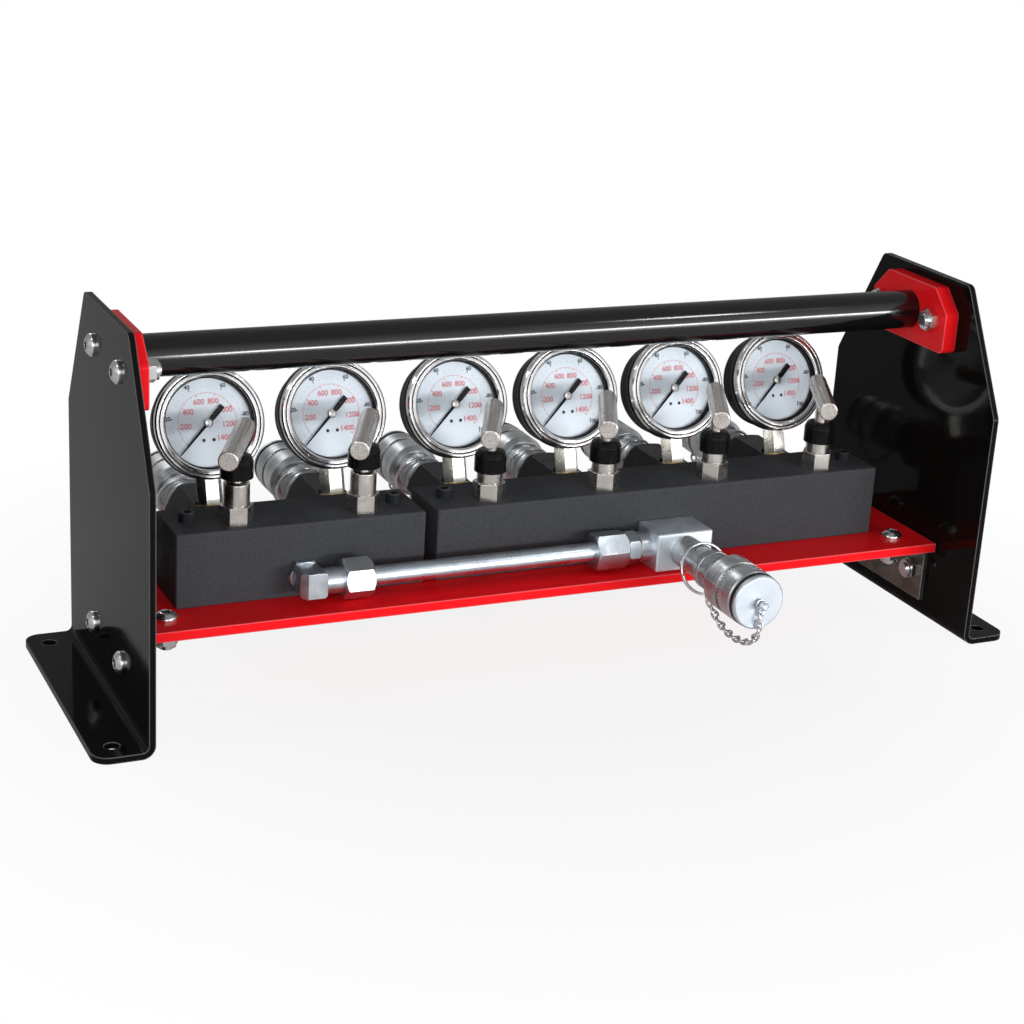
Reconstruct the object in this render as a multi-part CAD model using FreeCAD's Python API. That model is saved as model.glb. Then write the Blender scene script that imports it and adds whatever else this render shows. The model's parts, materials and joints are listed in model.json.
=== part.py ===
import FreeCAD, Part
import math
import os
from FreeCAD import Vector

# Portable hydraulic manifold: two drilled blocks on a red base plate between two
# folded end plates, six needle valves with gauges and rear couplers, one inlet tee.
# Millimetres. X runs along the blocks, Y from the valves (front) to the outlets
# (rear), Z up. The origin is on the floor, in the middle of the four foot holes.

# Fits
running_gap = 0.05      # radial gap of a turning or sliding shaft
thread_gap = 0.05       # radial gap between a thread and its hole
seat_gap = 0.3          # gap between pieces that move past each other
loose_gap = 0.2         # gap round a piece that is dropped into a recess

# Blocks along the frame
two_block_length = 157.0
four_block_length = 319.0
block_gap = 8.0
left_block_gap = 32.0   # from the left end plate to the first block
right_block_gap = 34.0

# End plates
plate_thickness = 4.0
plate_depth = 184.0
plate_height = 235.0
shoulder_height = 157.0
top_chamfer = 43.0
plate_corner_radius = 6.0
foot_reach = 31.0       # foot beyond the outer face of its plate
bend_radius = 4.0
foot_corner_radius = 10.0
foot_hole = 9.0
foot_hole_from_edge = 13.5
foot_hole_from_end = 15.0

# Carrying handle
handle_diameter = 25.4
handle_wall = 2.6
handle_below_top = 27.0
handle_socket_depth = 6.0
bracket_thickness = 10.0
bracket_width = 84.0
bracket_below = 20.5
bracket_above = 21.0
bracket_chamfer = 15.0
bracket_corner_radius = 4.0
handle_bolt_spread = 58.0

# Base plate and its angle brackets
base_top = 57.5
base_thickness = 6.0
base_depth = 101.0
base_end_gap = 1.0
angle_leg = 38.0
angle_thickness = 3.0
angle_length = 84.0
angle_radius = 3.0
frame_bolt_height = 34.0
frame_bolt_spread = 64.0
base_screw_inset = 23.0
base_screw_spread = 60.0

# M8 button-head bolts and lock nuts
bolt_diameter = 8.0
bolt_hole = 9.0
head_diameter = 14.0
head_height = 4.4
head_flat = 7.0
head_rim = 1.4
key_across = 5.0
key_depth = 2.6
nut_across = 13.0
nut_height = 8.0
nut_collar = 2.0
bolt_past_nut = 1.5

# Manifold blocks
block_height = 46.5
block_depth = 45.0
block_front = -19.0
two_port_pitch = 80.0
two_port_shift = 2.0    # both ports sit this far right of the middle
four_port_pitch = 80.0
block_edge = 0.8
gallery_height = 14.0   # main gallery above the base plate
outlet_height = 24.0    # outlet ports above the base plate
gallery_diameter = 9.0
gallery_end_wall = 12.0
plug_diameter = 13.0
plug_length = 10.0
plug_key = 6.0
seat_bore = 4.5
seat_rise = 5.5         # seat above the gallery's axis
outlet_bore = 6.0
block_screw_diameter = 6.0
block_screw_head = 10.0
block_screw_head_height = 6.0
block_screw_key = 5.0
block_screw_inset = 13.0

# Needle valves
valve_line = -5.0       # Y of the valve axes
valve_shank = 14.0
valve_shank_length = 14.0
valve_hex = 18.0
valve_hex_height = 11.0
valve_hex_turns = (8.0, 8.0, 25.0, 20.0, 38.0, 9.0)     # degrees the front flat looks left
bonnet_diameter = 16.0
bonnet_height = 26.0
bonnet_chamfer = 1.5
spindle_diameter = 8.0
needle_length = 6.0
needle_tip = 2.0
handle_axis_rise = 48.5     # tee bar's axis above the block
bar_diameter = 12.0
bar_length = 69.0
bar_chamfer = 0.6
bar_bearing = 26.0          # degrees from the depth axis toward the right
spindle_into_bar = 8.0
boot_diameter = 20.0
boot_height = 14.0
boot_bore_depth = 10.0
boot_dome = 4.0
boot_rise = 18.0            # lower rim above the block on valves 3 to 6
raised_boots = (0, 1)       # the two boots pushed up against their tee bars

# Gauge adapters behind the blocks
adapter_hex = 32.0
adapter_length = 61.0
port_thread = 16.5
port_thread_length = 12.0
port_hole_depth = 14.0
fluid_bore = 8.0
gauge_port_from_block = 21.0
gauge_lean = 18.0           # degrees the gauge port leans back from straight up
gauge_thread = 12.6
gauge_thread_length = 11.0
spot_depth = 3.0            # middle of the seal's seat below the top flat
port_depth = 14.0

# Gauges, measured back from the front of the bezel
gauge_axis_rise = 49.5      # dial centre above the port, along the stem
gauge_port_to_front = 15.0
case_diameter = 63.0
case_depth = 28.0
case_wall = 1.2
case_round = 5.0
bezel_overlap = 3.0         # bezel's outer edge beyond the case, and its opening inside it
bezel_depth = 7.5
bezel_lip = 1.5
bezel_groove_width = 0.8
bezel_groove_depth = 0.7
bezel_edge = 1.0
window_thickness = 2.5
dial_back = 7.9
dial_thickness = 0.8
pointer_to_bezel = 2.0      # pointer's tip short of the bezel's opening
pointer_tail = 14.0
pointer_waist = 5.0
pointer_tail_width = 3.4
pointer_width = 1.8
pointer_tip_width = 0.6
pointer_thickness = 0.6
pointer_rest = 225.0        # degrees clockwise from straight up, at zero
hub_diameter = 5.0
hub_depth = 2.0
arbor_diameter = 2.0
arbor_length = 6.0
stem_hex = 14.0
seal_diameter = 18.0
seal_thickness = 2.5
socket_width = 14.0
tube_ring_radius = 21.0
tube_ring_width = 3.5
tube_ring_depth = 6.0
tube_ring_sweep = 260.0
movement_width = 22.0
movement_thickness = 4.0

# Quick couplers, measured out from the start of the barrel
neck_diameter = 21.0
rear_neck_length = 8.0
inlet_neck_length = 32.0
coupler_diameter = 25.0
collar_start = 21.0
collar_end = 54.0
collar_diameter = 35.0
collar_lip = 6.0
collar_wall = 2.5
collar_edge = 1.0
shoulder_edge = 3.0
barrel_edge = 1.0
groove_start = 37.5
groove_width = 4.0
groove_depth = 0.8
retainer_width = 2.5
nose_diameter = 22.0
nose_end = 40.0
poppet_diameter = 11.0
poppet_face = 9.0
poppet_length = 16.0
poppet_nose = 2.2
cap_flange = 34.0
cap_flange_depth = 6.5
cap_plug_depth = 11.0
cap_edge = 1.0
stud_diameter = 3.0
stud_ball = 5.6
stud_length = 3.6

# Cap chains; the sag points are (distance out, height over the coupler's axis)
ring_radius = 16.0
ring_wire = 2.0
ring_tilt = 22.0
rear_ring_out = 14.0
inlet_ring_out = -6.0
rear_sag = [(31.0, -28.0), (43.0, -32.0), (55.0, -28.5), (64.0, -19.0)]
inlet_sag = [(15.0, -28.5), (30.0, -32.0), (45.0, -31.0), (57.0, -26.0), (65.0, -16.0)]
link_pitch = 6.6
link_width = 4.6
link_wire = 1.3
link_play = 0.5             # between a chain's end links and the ring or stud ball
link_bevel = 0.6            # share of a link's half width that is bevelled off

# Inlet run
tee_width = 39.4
tee_depth = 28.0
tee_height = 25.4
tee_above_base = 0.5
tee_edge = 0.8
elbow_thread = 13.0
elbow_nut_across = 19.0
elbow_nut_height = 5.0
elbow_body = 16.0
elbow_arm = 16.0
elbow_edge = 1.5
elbow_shoulder = 19.0       # elbow's axis to the start of its nut
tube_diameter = 12.0
tube_wall = 1.5
tube_in_fitting = 7.0
tube_nut_across = 22.0
left_nut_length = 18.5
right_nut_length = 22.0
left_nut_turn = 10.0        # degrees the front flat looks up
right_nut_turn = 38.0
union_turn = 11.0
nut_wall_length = 6.0
nut_overlap = 11.0
union_hex = 19.0
union_hex_length = 9.0
union_collar = 20.0
union_collar_length = 8.5

# Places worked out from the sizes above
inner_width = left_block_gap + two_block_length + block_gap + four_block_length + right_block_gap
half_width = inner_width / 2
outer_face = half_width + plate_thickness
foot_edge = outer_face + foot_reach
half_depth = plate_depth / 2
foot_hole_x = foot_edge - foot_hole_from_edge
foot_hole_y = half_depth - foot_hole_from_end
handle_height = plate_height - handle_below_top
base_bottom = base_top - base_thickness
angle_bottom = base_bottom - angle_thickness
block_top = base_top + block_height
block_rear = block_front + block_depth
block_middle = block_front + block_depth / 2
gallery_z = base_top + gallery_height
seat_z = gallery_z + seat_rise
outlet_z = base_top + outlet_height
bar_z = block_top + handle_axis_rise
adapter_end = block_rear + adapter_length
adapter_top = outlet_z + adapter_hex / 2
gauge_y = block_rear + gauge_port_from_block
gauge_front = gauge_y - gauge_port_to_front
gauge_z = adapter_top + gauge_axis_rise
bezel_diameter = case_diameter + 2 * bezel_overlap
bezel_opening = case_diameter - 2 * bezel_overlap
pointer_length = bezel_opening / 2 - pointer_to_bezel
two_block_left = left_block_gap - half_width
two_block_right = two_block_left + two_block_length
four_block_left = two_block_right + block_gap
four_block_right = four_block_left + four_block_length
two_block_centre = (two_block_left + two_block_right) / 2
four_block_centre = (four_block_left + four_block_right) / 2
two_ports = [two_block_centre + two_port_shift + (k - 0.5) * two_port_pitch for k in range(2)]
four_ports = [four_block_centre + (k - 1.5) * four_port_pitch for k in range(4)]
ports = two_ports + four_ports
tee_front = block_front - tee_depth
run_y = block_front - tee_depth / 2
tee_left = four_block_centre - tee_width / 2
tee_low = base_top + tee_above_base
left_nut_start = two_block_centre + elbow_shoulder
right_nut_end = tee_left - union_collar_length - union_hex_length

X = Vector(1, 0, 0)
Y = Vector(0, 1, 0)
Z = Vector(0, 0, 1)


def box(x_span, y_span, z_span):
    """Block whose spans are (low, high) pairs."""
    sides = [high - low for low, high in (x_span, y_span, z_span)]
    return Part.makeBox(*sides, Vector(x_span[0], y_span[0], z_span[0]))


def rod(diameter, start, direction, length):
    """Round bar from a start point along a direction."""
    return Part.makeCylinder(diameter / 2, length, start, direction)


def turned(profile, start, direction):
    """Turned piece; the profile lists (radius, distance along) corners."""
    corners = [Vector(radius, 0, along) for radius, along in profile]
    face = Part.Face(Part.makePolygon(corners + corners[:1]))
    solid = face.revolve(Vector(), Z, 360)
    solid.Placement = FreeCAD.Placement(start, FreeCAD.Rotation(Z, direction))
    return solid


def hexagon(across, start, direction, length, flat_normal):
    """Hexagonal bar with one flat facing flat_normal."""
    corner = across / math.sqrt(3)
    side = direction.cross(flat_normal)
    points = []
    for k in range(6):
        turn = math.radians(30 + 60 * k)
        points.append(start + flat_normal * (corner * math.cos(turn)) + side * (corner * math.sin(turn)))
    return Part.Face(Part.makePolygon(points + points[:1])).extrude(direction * length)


def chamfered_hexagon(across, start, direction, length, flat_normal, near_end, far_end):
    """Hexagonal bar whose corners are turned off at the ends asked for."""
    corner = across / math.sqrt(3)
    drop = corner - across / 2
    profile = [(0, 0), (across / 2 if near_end else corner, 0)]
    if near_end:
        profile.append((corner, drop))
    if far_end:
        profile.append((corner, length - drop))
    profile += [(across / 2 if far_end else corner, length), (0, length)]
    return hexagon(across, start, direction, length, flat_normal).common(turned(profile, start, direction))


def prism(outline, start, direction_x, direction_y, thickness):
    """Plate cut to an outline of (x, y) corners in its own plane."""
    points = [start + direction_x * x + direction_y * y for x, y in outline]
    normal = direction_x.cross(direction_y)
    return Part.Face(Part.makePolygon(points + points[:1])).extrude(normal * thickness)


def edges_along(solid, direction, keep):
    """Straight edges parallel to a direction whose middle passes the test."""
    found = []
    for edge in solid.Edges:
        run = edge.valueAt(edge.LastParameter) - edge.valueAt(edge.FirstParameter)
        straight = edge.Curve.TypeId == "Part::GeomLine"
        if straight and run.cross(direction).Length < 1e-6 and keep(edge.CenterOfMass):
            found.append(edge)
    return found


def mirrored(solid):
    """The same piece on the other side of the middle plane."""
    return solid.mirror(Vector(), X)


def export(name, solids):
    """Writes one node: one solid, or several that stay apart."""
    shape = solids[0] if len(solids) == 1 else Part.makeCompound(solids)
    shape.exportStep("parts/" + name + ".step")


# Frame

def end_plate():
    """Left end plate with its foot folded outward."""
    inner = bend_radius
    outer = bend_radius + plate_thickness
    centre = Vector(-outer_face - inner, -half_depth, outer)
    turn = math.sqrt(0.5)

    def on_arc(radius, across, down):
        return centre + Vector(radius * across, 0, -radius * down)

    top_inner = Vector(-half_width, -half_depth, plate_height)
    top_outer = Vector(-outer_face, -half_depth, plate_height)
    foot_low = Vector(-foot_edge, -half_depth, 0)
    foot_high = Vector(-foot_edge, -half_depth, plate_thickness)
    edges = [
        Part.LineSegment(top_outer, top_inner).toShape(),
        Part.LineSegment(top_inner, on_arc(outer, 1, 0)).toShape(),
        Part.Arc(on_arc(outer, 1, 0), on_arc(outer, turn, turn), on_arc(outer, 0, 1)).toShape(),
        Part.LineSegment(on_arc(outer, 0, 1), foot_low).toShape(),
        Part.LineSegment(foot_low, foot_high).toShape(),
        Part.LineSegment(foot_high, on_arc(inner, 0, 1)).toShape(),
        Part.Arc(on_arc(inner, 0, 1), on_arc(inner, turn, turn), on_arc(inner, 1, 0)).toShape(),
        Part.LineSegment(on_arc(inner, 1, 0), top_outer).toShape(),
    ]
    plate = Part.Face(Part.Wire(edges)).extrude(Y * plate_depth)
    for side in (-1, 1):
        corner = [
            Vector(-foot_edge, side * half_depth, shoulder_height),
            Vector(-foot_edge, side * half_depth, plate_height),
            Vector(-foot_edge, side * (half_depth - top_chamfer), plate_height),
        ]
        wedge = Part.Face(Part.makePolygon(corner + corner[:1]))
        plate = plate.cut(wedge.extrude(X * (foot_edge - half_width)))
    plate = plate.makeFillet(
        plate_corner_radius, edges_along(plate, X, lambda middle: middle.z > shoulder_height - 1))
    plate = plate.makeFillet(
        foot_corner_radius, edges_along(plate, Z, lambda middle: middle.x < 1 - foot_edge))
    for side in (-1, 1):
        hole = Vector(-foot_hole_x, side * foot_hole_y, 0)
        plate = plate.cut(rod(foot_hole, hole, Z, plate_thickness))
    for y, z in frame_bolt_places() + handle_bolt_places():
        hole = Vector(-outer_face, y, z)
        plate = plate.cut(rod(bolt_hole, hole, X, plate_thickness))
    return plate


def frame_bolt_places():
    """(y, z) of the bolts that hold an angle bracket to its end plate."""
    return [(side * frame_bolt_spread / 2, frame_bolt_height) for side in (-1, 1)]


def handle_bolt_places():
    """(y, z) of the bolts that hold a handle bracket to its end plate."""
    return [(side * handle_bolt_spread / 2, handle_height) for side in (-1, 1)]


def base_screw_places():
    """(x, y) of the screws through the base plate."""
    x = half_width - base_screw_inset
    return [(side * x, row * base_screw_spread / 2) for side in (-1, 1) for row in (-1, 1)]


def handle_bracket():
    """Left handle bracket: thick plate with two cut corners and a tube socket."""
    half = bracket_width / 2
    low = handle_height - bracket_below
    high = handle_height + bracket_above
    outline = [(-half, low), (half, low), (half, high - bracket_chamfer), (half - bracket_chamfer, high),
               (bracket_chamfer - half, high), (-half, high - bracket_chamfer)]
    bracket = prism(outline, Vector(-half_width, 0, 0), Y, Z, bracket_thickness)
    bracket = bracket.makeFillet(bracket_corner_radius, edges_along(bracket, X, lambda middle: True))
    socket = Vector(-half_width + bracket_thickness - handle_socket_depth, 0, handle_height)
    bracket = bracket.cut(rod(handle_diameter + 2 * thread_gap, socket, X, handle_socket_depth))
    for y, z in handle_bolt_places():
        bracket = bracket.cut(rod(bolt_hole, Vector(-half_width, y, z), X, bracket_thickness))
    return bracket


def handle_tube():
    """Round grip tube, its ends in the brackets' sockets."""
    reach = half_width - bracket_thickness + handle_socket_depth - thread_gap
    start = Vector(-reach, 0, handle_height)
    tube = rod(handle_diameter, start, X, 2 * reach)
    return tube.cut(rod(handle_diameter - 2 * handle_wall, start, X, 2 * reach))


def base_plate():
    """Flat base plate that carries both blocks."""
    half = half_width - base_end_gap
    plate = box((-half, half), (-base_depth / 2, base_depth / 2), (base_bottom, base_top))
    for x, y in base_screw_places():
        plate = plate.cut(rod(bolt_hole, Vector(x, y, base_bottom), Z, base_thickness))
    for x in block_screw_places():
        hole = Vector(x, block_middle, base_bottom)
        plate = plate.cut(rod(block_screw_diameter + 2 * thread_gap, hole, Z, base_thickness))
    return plate


def angle_bracket():
    """Left angle bracket between the end plate and the base plate."""
    wall = -half_width
    span = (-angle_length / 2, angle_length / 2)
    upright = box((wall, wall + angle_thickness), span, (base_bottom - angle_leg, base_bottom))
    shelf = box((wall, wall + angle_leg), span, (angle_bottom, base_bottom))
    corner = wall + angle_thickness
    low = angle_bottom - angle_radius
    root = box((corner, corner + angle_radius), span, (low, angle_bottom))
    root = root.cut(rod(2 * angle_radius, Vector(corner + angle_radius, span[0], low), Y, angle_length))
    bracket = upright.fuse([shelf, root]).removeSplitter()
    for y, z in frame_bolt_places():
        bracket = bracket.cut(rod(bolt_hole, Vector(wall, y, z), X, angle_thickness))
    for x, y in base_screw_places():
        if x < 0:
            bracket = bracket.cut(rod(bolt_hole, Vector(x, y, angle_bottom), Z, angle_thickness))
    return bracket


def button_bolt(start, direction, grip):
    """M8 button-head bolt; grip is what it clamps between head and nut."""
    length = grip + nut_height + bolt_past_nut
    profile = [(0, -head_height), (head_flat / 2, -head_height), (head_diameter / 2, -head_rim),
               (head_diameter / 2, 0), (bolt_diameter / 2, 0), (bolt_diameter / 2, length), (0, length)]
    bolt = turned(profile, start, direction)
    side = Z if abs(direction.z) < 0.5 else Y
    key = hexagon(key_across, start - direction * head_height, direction, key_depth, side)
    return bolt.cut(key)


def lock_nut(start, direction, flat_normal):
    """M8 lock nut with the round collar that holds its nylon ring."""
    body = hexagon(nut_across, start, direction, nut_height - nut_collar, flat_normal)
    collar = rod(nut_across - 1, start + direction * (nut_height - nut_collar), direction, nut_collar)
    nut = body.fuse(collar)
    return nut.cut(rod(bolt_diameter + 2 * thread_gap, start, direction, nut_height))


def frame_fasteners():
    """All M8 bolts of the frame, with their lock nuts."""
    bolts = []
    nuts = []
    joints = [(place, angle_thickness) for place in frame_bolt_places()]
    joints += [(place, bracket_thickness) for place in handle_bolt_places()]
    for side in (-1, 1):
        inward = X * -side
        for (y, z), inner_piece in joints:
            grip = plate_thickness + inner_piece
            start = Vector(side * outer_face, y, z)
            bolts.append(button_bolt(start, inward, grip))
            nuts.append(lock_nut(start + inward * grip, inward, Y))
    grip = base_thickness + angle_thickness
    for x, y in base_screw_places():
        start = Vector(x, y, base_top)
        bolts.append(button_bolt(start, -Z, grip))
        nuts.append(lock_nut(start - Z * grip, -Z, Y))
    return bolts, nuts


# Manifold blocks

def block_screw_places():
    """X of the four screws that hold the blocks to the base plate."""
    ends = [(two_block_left, two_block_right), (four_block_left, four_block_right)]
    return [x for left, right in ends for x in (left + block_screw_inset, right - block_screw_inset)]


def manifold_block(left, length, outlets, inlet_x, inlet_thread):
    """Drilled block: gallery, inlet port, valve cavities, seats and outlet ports."""
    right = left + length
    block = box((left, right), (block_front, block_rear), (base_top, block_top))
    block = block.makeChamfer(block_edge, block.Edges)
    gallery = Vector(left + gallery_end_wall, valve_line, gallery_z)
    cuts = [rod(gallery_diameter, gallery, X, length - gallery_end_wall)]
    plug_hole = Vector(right - plug_length, valve_line, gallery_z)
    cuts.append(rod(plug_diameter + 2 * thread_gap, plug_hole, X, plug_length))
    inlet = Vector(inlet_x, block_front, gallery_z)
    cuts.append(rod(fluid_bore, inlet, Y, valve_line - block_front))
    cuts.append(rod(inlet_thread + 2 * thread_gap, inlet, Y, port_thread_length))
    for x in outlets:
        cuts.append(rod(seat_bore, Vector(x, valve_line, gallery_z), Z, seat_rise))
        cavity = block_top - seat_z
        cuts.append(rod(valve_shank + 2 * thread_gap, Vector(x, valve_line, seat_z), Z, cavity))
        outlet = Vector(x, block_rear, outlet_z)
        cuts.append(rod(outlet_bore, outlet, -Y, block_rear - valve_line))
        cuts.append(rod(port_thread + 2 * thread_gap, outlet, -Y, port_thread_length))
    for x in block_screw_places():
        if left < x < right:
            hole = Vector(x, block_middle, base_top)
            cuts.append(rod(block_screw_diameter + 2 * loose_gap, hole, Z, block_height))
    return block.cut(cuts)


def block_screw(x):
    """Socket-head screw down through a block into the base plate."""
    length = block_height + base_thickness
    profile = [(0, -block_screw_head_height), (block_screw_head / 2, -block_screw_head_height),
               (block_screw_head / 2, 0), (block_screw_diameter / 2, 0), (block_screw_diameter / 2, length),
               (0, length)]
    start = Vector(x, block_middle, block_top)
    screw = turned(profile, start, -Z)
    key = hexagon(block_screw_key, start + Z * block_screw_head_height, -Z, block_screw_head_height / 2, Y)
    return screw.cut(key)


def gallery_plug(right):
    """Plug that closes the end of a drilled gallery."""
    plug = rod(plug_diameter, Vector(right - plug_length, valve_line, gallery_z), X, plug_length)
    key = hexagon(plug_key, Vector(right, valve_line, gallery_z), -X, plug_length / 2, Z)
    return plug.cut(key)


# Needle valves

def valve_bonnet(x, turn):
    """Valve body screwed into the block, its front flat turned left by some degrees."""
    base = Vector(x, valve_line, block_top)
    flat = Vector(-math.sin(math.radians(turn)), -math.cos(math.radians(turn)), 0)
    body = hexagon(valve_hex, base, Z, valve_hex_height, flat)
    radius = bonnet_diameter / 2
    upper = turned([(0, 0), (radius, 0), (radius, bonnet_height - bonnet_chamfer),
                    (radius - bonnet_chamfer, bonnet_height), (0, bonnet_height)], base, Z)
    shank = rod(valve_shank, base - Z * valve_shank_length, Z, valve_shank_length)
    bore = rod(spindle_diameter + 2 * running_gap, base - Z * valve_shank_length, Z,
               valve_shank_length + bonnet_height)
    return body.fuse([upper, shank]).cut(bore)


def tee_handle(x):
    """Spindle with its needle, and the bar it is pressed into."""
    radius = spindle_diameter / 2
    tip = seat_z - needle_tip
    shoulder = tip + needle_length
    top = bar_z - bar_diameter / 2 + spindle_into_bar
    base = Vector(x, valve_line, tip)
    slope = (radius - seat_bore / 2 + 2 * running_gap) / (needle_length - needle_tip)
    point = seat_bore / 2 - 2 * running_gap - slope * needle_tip
    profile = [(0, 0), (point, 0), (radius, shoulder - tip), (radius, top - tip), (0, top - tip)]
    spindle = turned(profile, base, Z)
    bearing = math.radians(bar_bearing)
    along = Vector(math.sin(bearing), math.cos(bearing), 0)
    half = bar_length / 2
    bar_radius = bar_diameter / 2
    bar = turned([(0, 0), (bar_radius - bar_chamfer, 0), (bar_radius, bar_chamfer),
                  (bar_radius, bar_length - bar_chamfer), (bar_radius - bar_chamfer, bar_length),
                  (0, bar_length)], Vector(x, valve_line, bar_z) - along * half, along)
    hole_start = Vector(x, valve_line, bar_z - bar_radius)
    bar = bar.cut(rod(spindle_diameter + 2 * thread_gap, hole_start, Z, spindle_into_bar))
    return [bar, spindle]


def valve_boot(x, raised):
    """Domed dust boot that grips the spindle and shrouds the bonnet."""
    low = block_top + boot_rise
    if raised:
        low = bar_z - bar_diameter / 2 - seat_gap - boot_height
    radius = boot_diameter / 2
    bore = bonnet_diameter / 2 + seat_gap
    grip = spindle_diameter / 2 + running_gap
    profile = [(bore, 0), (radius, 0), (radius, boot_height - boot_dome),
               (radius - boot_dome / 3, boot_height - boot_dome / 4), (radius - boot_dome, boot_height),
               (grip, boot_height), (grip, boot_bore_depth), (bore, boot_bore_depth)]
    return turned(profile, Vector(x, valve_line, low), Z)


# Outlets: adapter, gauge and seal

def lean(solid, x):
    """Tips a gauge piece, built upright over its port, back by the port's angle."""
    tipped = solid.copy()
    tipped.rotate(Vector(x, gauge_y, adapter_top), X, -gauge_lean)
    return tipped


def gauge_adapter(x):
    """Black hexagonal adapter with a leaning, spot-faced gauge port on its top flat."""
    face = Vector(x, block_rear, outlet_z)
    body = chamfered_hexagon(adapter_hex, face, Y, adapter_length, Z, False, True)
    thread = rod(port_thread, face - Y * port_thread_length, Y, port_thread_length)
    bore = rod(fluid_bore, face - Y * port_thread_length, Y, port_thread_length + adapter_length)
    end = rod(port_thread + 2 * thread_gap, face + Y * adapter_length, -Y, port_hole_depth)
    seat = Vector(x, gauge_y, adapter_top - spot_depth)
    port = lean(rod(gauge_thread + 2 * thread_gap, seat, -Z, port_depth), x)
    spot = lean(rod(seal_diameter + 2 * loose_gap, seat, Z, 2 * spot_depth + seal_thickness), x)
    return body.fuse(thread).cut([bore, end, port, spot])


def gauge_seal(x):
    """Bonded seal between the gauge stem and its port."""
    radius = gauge_thread / 2 + thread_gap
    half = seal_diameter / 2
    base = Vector(x, gauge_y, adapter_top - spot_depth)
    seal = turned([(radius, 0), (half, 0), (half, seal_thickness), (radius, seal_thickness)], base, Z)
    return lean(seal, x)


def gauge_origin(x):
    """Middle of the front of a gauge's bezel."""
    return Vector(x, gauge_front, gauge_z)


def gauge_case(x):
    """Deep round case, open at the front, with a hole for the stem."""
    front = bezel_lip + window_thickness + loose_gap
    radius = case_diameter / 2
    inner = radius - case_wall
    profile = [(inner, front), (radius, front), (radius, case_depth), (0, case_depth),
               (0, case_depth - case_wall), (inner, case_depth - case_wall)]
    case = turned(profile, gauge_origin(x), Y)
    back = gauge_front + case_depth
    corners = ((back, radius, case_round), (back - case_wall, inner, case_round - case_wall))
    for depth, rim, rounding in corners:
        rims = [edge for edge in case.Edges if abs(edge.CenterOfMass.y - depth) < 0.01 and edge.Length > rim]
        case = case.makeFillet(rounding, rims)
    hole = Vector(x, gauge_y, gauge_z - radius - case_wall)
    case = case.cut(rod(2 * stem_hex / math.sqrt(3) + 2 * loose_gap, hole, Z, 3 * case_wall))
    return lean(case, x)


def gauge_bezel(x):
    """Polished ring rolled over the window and the case."""
    outer = bezel_diameter / 2
    opening = bezel_opening / 2
    inner = case_diameter / 2 + loose_gap
    groove = inner - bezel_groove_width / 2
    step = groove + bezel_groove_width
    profile = [(opening, bezel_edge), (opening + bezel_edge, 0), (groove, 0), (groove, bezel_groove_depth),
               (step, bezel_groove_depth), (step, 0), (outer - bezel_edge, 0), (outer, bezel_edge),
               (outer, bezel_depth), (inner, bezel_depth), (inner, bezel_lip), (opening, bezel_lip)]
    return lean(turned(profile, gauge_origin(x), Y), x)


def gauge_window(x):
    """Clear window behind the bezel's lip."""
    return lean(rod(case_diameter, gauge_origin(x) + Y * bezel_lip, Y, window_thickness), x)


def gauge_dial(x):
    """Flat dial with a hole for the pointer's arbor."""
    start = gauge_origin(x) + Y * (dial_back - dial_thickness)
    dial = rod(case_diameter - 2 * case_wall - 2 * loose_gap, start, Y, dial_thickness)
    return lean(dial.cut(rod(arbor_diameter + 2 * seat_gap, start, Y, dial_thickness)), x)


def gauge_pointer(x):
    """Pointer with a heavy tail, on its hub and arbor."""
    front = bezel_lip + window_thickness + 2 * seat_gap
    turn = math.radians(pointer_rest)
    along = Vector(math.sin(turn), 0, math.cos(turn))
    across = along.cross(Y)
    side = [(-pointer_tail, pointer_tail_width / 2), (-pointer_waist, pointer_tail_width / 2),
            (0, pointer_width / 2), (pointer_length, pointer_tip_width / 2)]
    outline = side + [(out, -half) for out, half in reversed(side)]
    hub_start = gauge_origin(x) + Y * front
    blade_start = hub_start + Y * (hub_depth + pointer_thickness) / 2
    blade = prism(outline, blade_start, along, across, pointer_thickness)
    hub = rod(hub_diameter, hub_start, Y, hub_depth)
    arbor = rod(arbor_diameter, hub_start, Y, dial_back - front + arbor_length)
    return lean(blade.fuse([hub, arbor]), x)


def gauge_movement(x):
    """Stem and socket with the curved pressure tube and the movement plate."""
    origin = gauge_origin(x)
    base = Vector(x, gauge_y, adapter_top - spot_depth + seal_thickness)
    flats_top = gauge_z - case_diameter / 2 + 2 * case_wall
    stem = hexagon(stem_hex, base, Z, flats_top - base.z, -Y)
    thread_length = seal_thickness + gauge_thread_length
    thread = rod(gauge_thread, base, -Z, thread_length)
    half = socket_width / 2
    front = gauge_front + dial_back
    top = gauge_z - tube_ring_radius + tube_ring_width
    socket = box((x - half, x + half), (front, gauge_y + half), (flats_top, top))
    half = movement_width / 2
    plate = box((x - half, x + half), (front, front + movement_thickness), (top - case_wall, gauge_z + half))
    ring_y = gauge_port_to_front - tube_ring_depth / 2
    low = tube_ring_radius - tube_ring_width / 2
    high = tube_ring_radius + tube_ring_width / 2
    corners = [Vector(0, ring_y, -low), Vector(0, ring_y, -high), Vector(0, ring_y + tube_ring_depth, -high),
               Vector(0, ring_y + tube_ring_depth, -low)]
    section = Part.Face(Part.makePolygon(corners + corners[:1]))
    pressure_tube = section.revolve(Vector(), Y, tube_ring_sweep)
    pressure_tube.translate(origin)
    bore = rod(arbor_diameter + 2 * running_gap, origin, Y, dial_back + arbor_length + 1)
    feed = rod(fluid_bore / 2, base - Z * thread_length, Z, top - tube_ring_width - base.z + thread_length)
    return lean(stem.fuse([thread, socket, plate, pressure_tube]).cut([bore, feed]), x)


# Quick couplers

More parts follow.
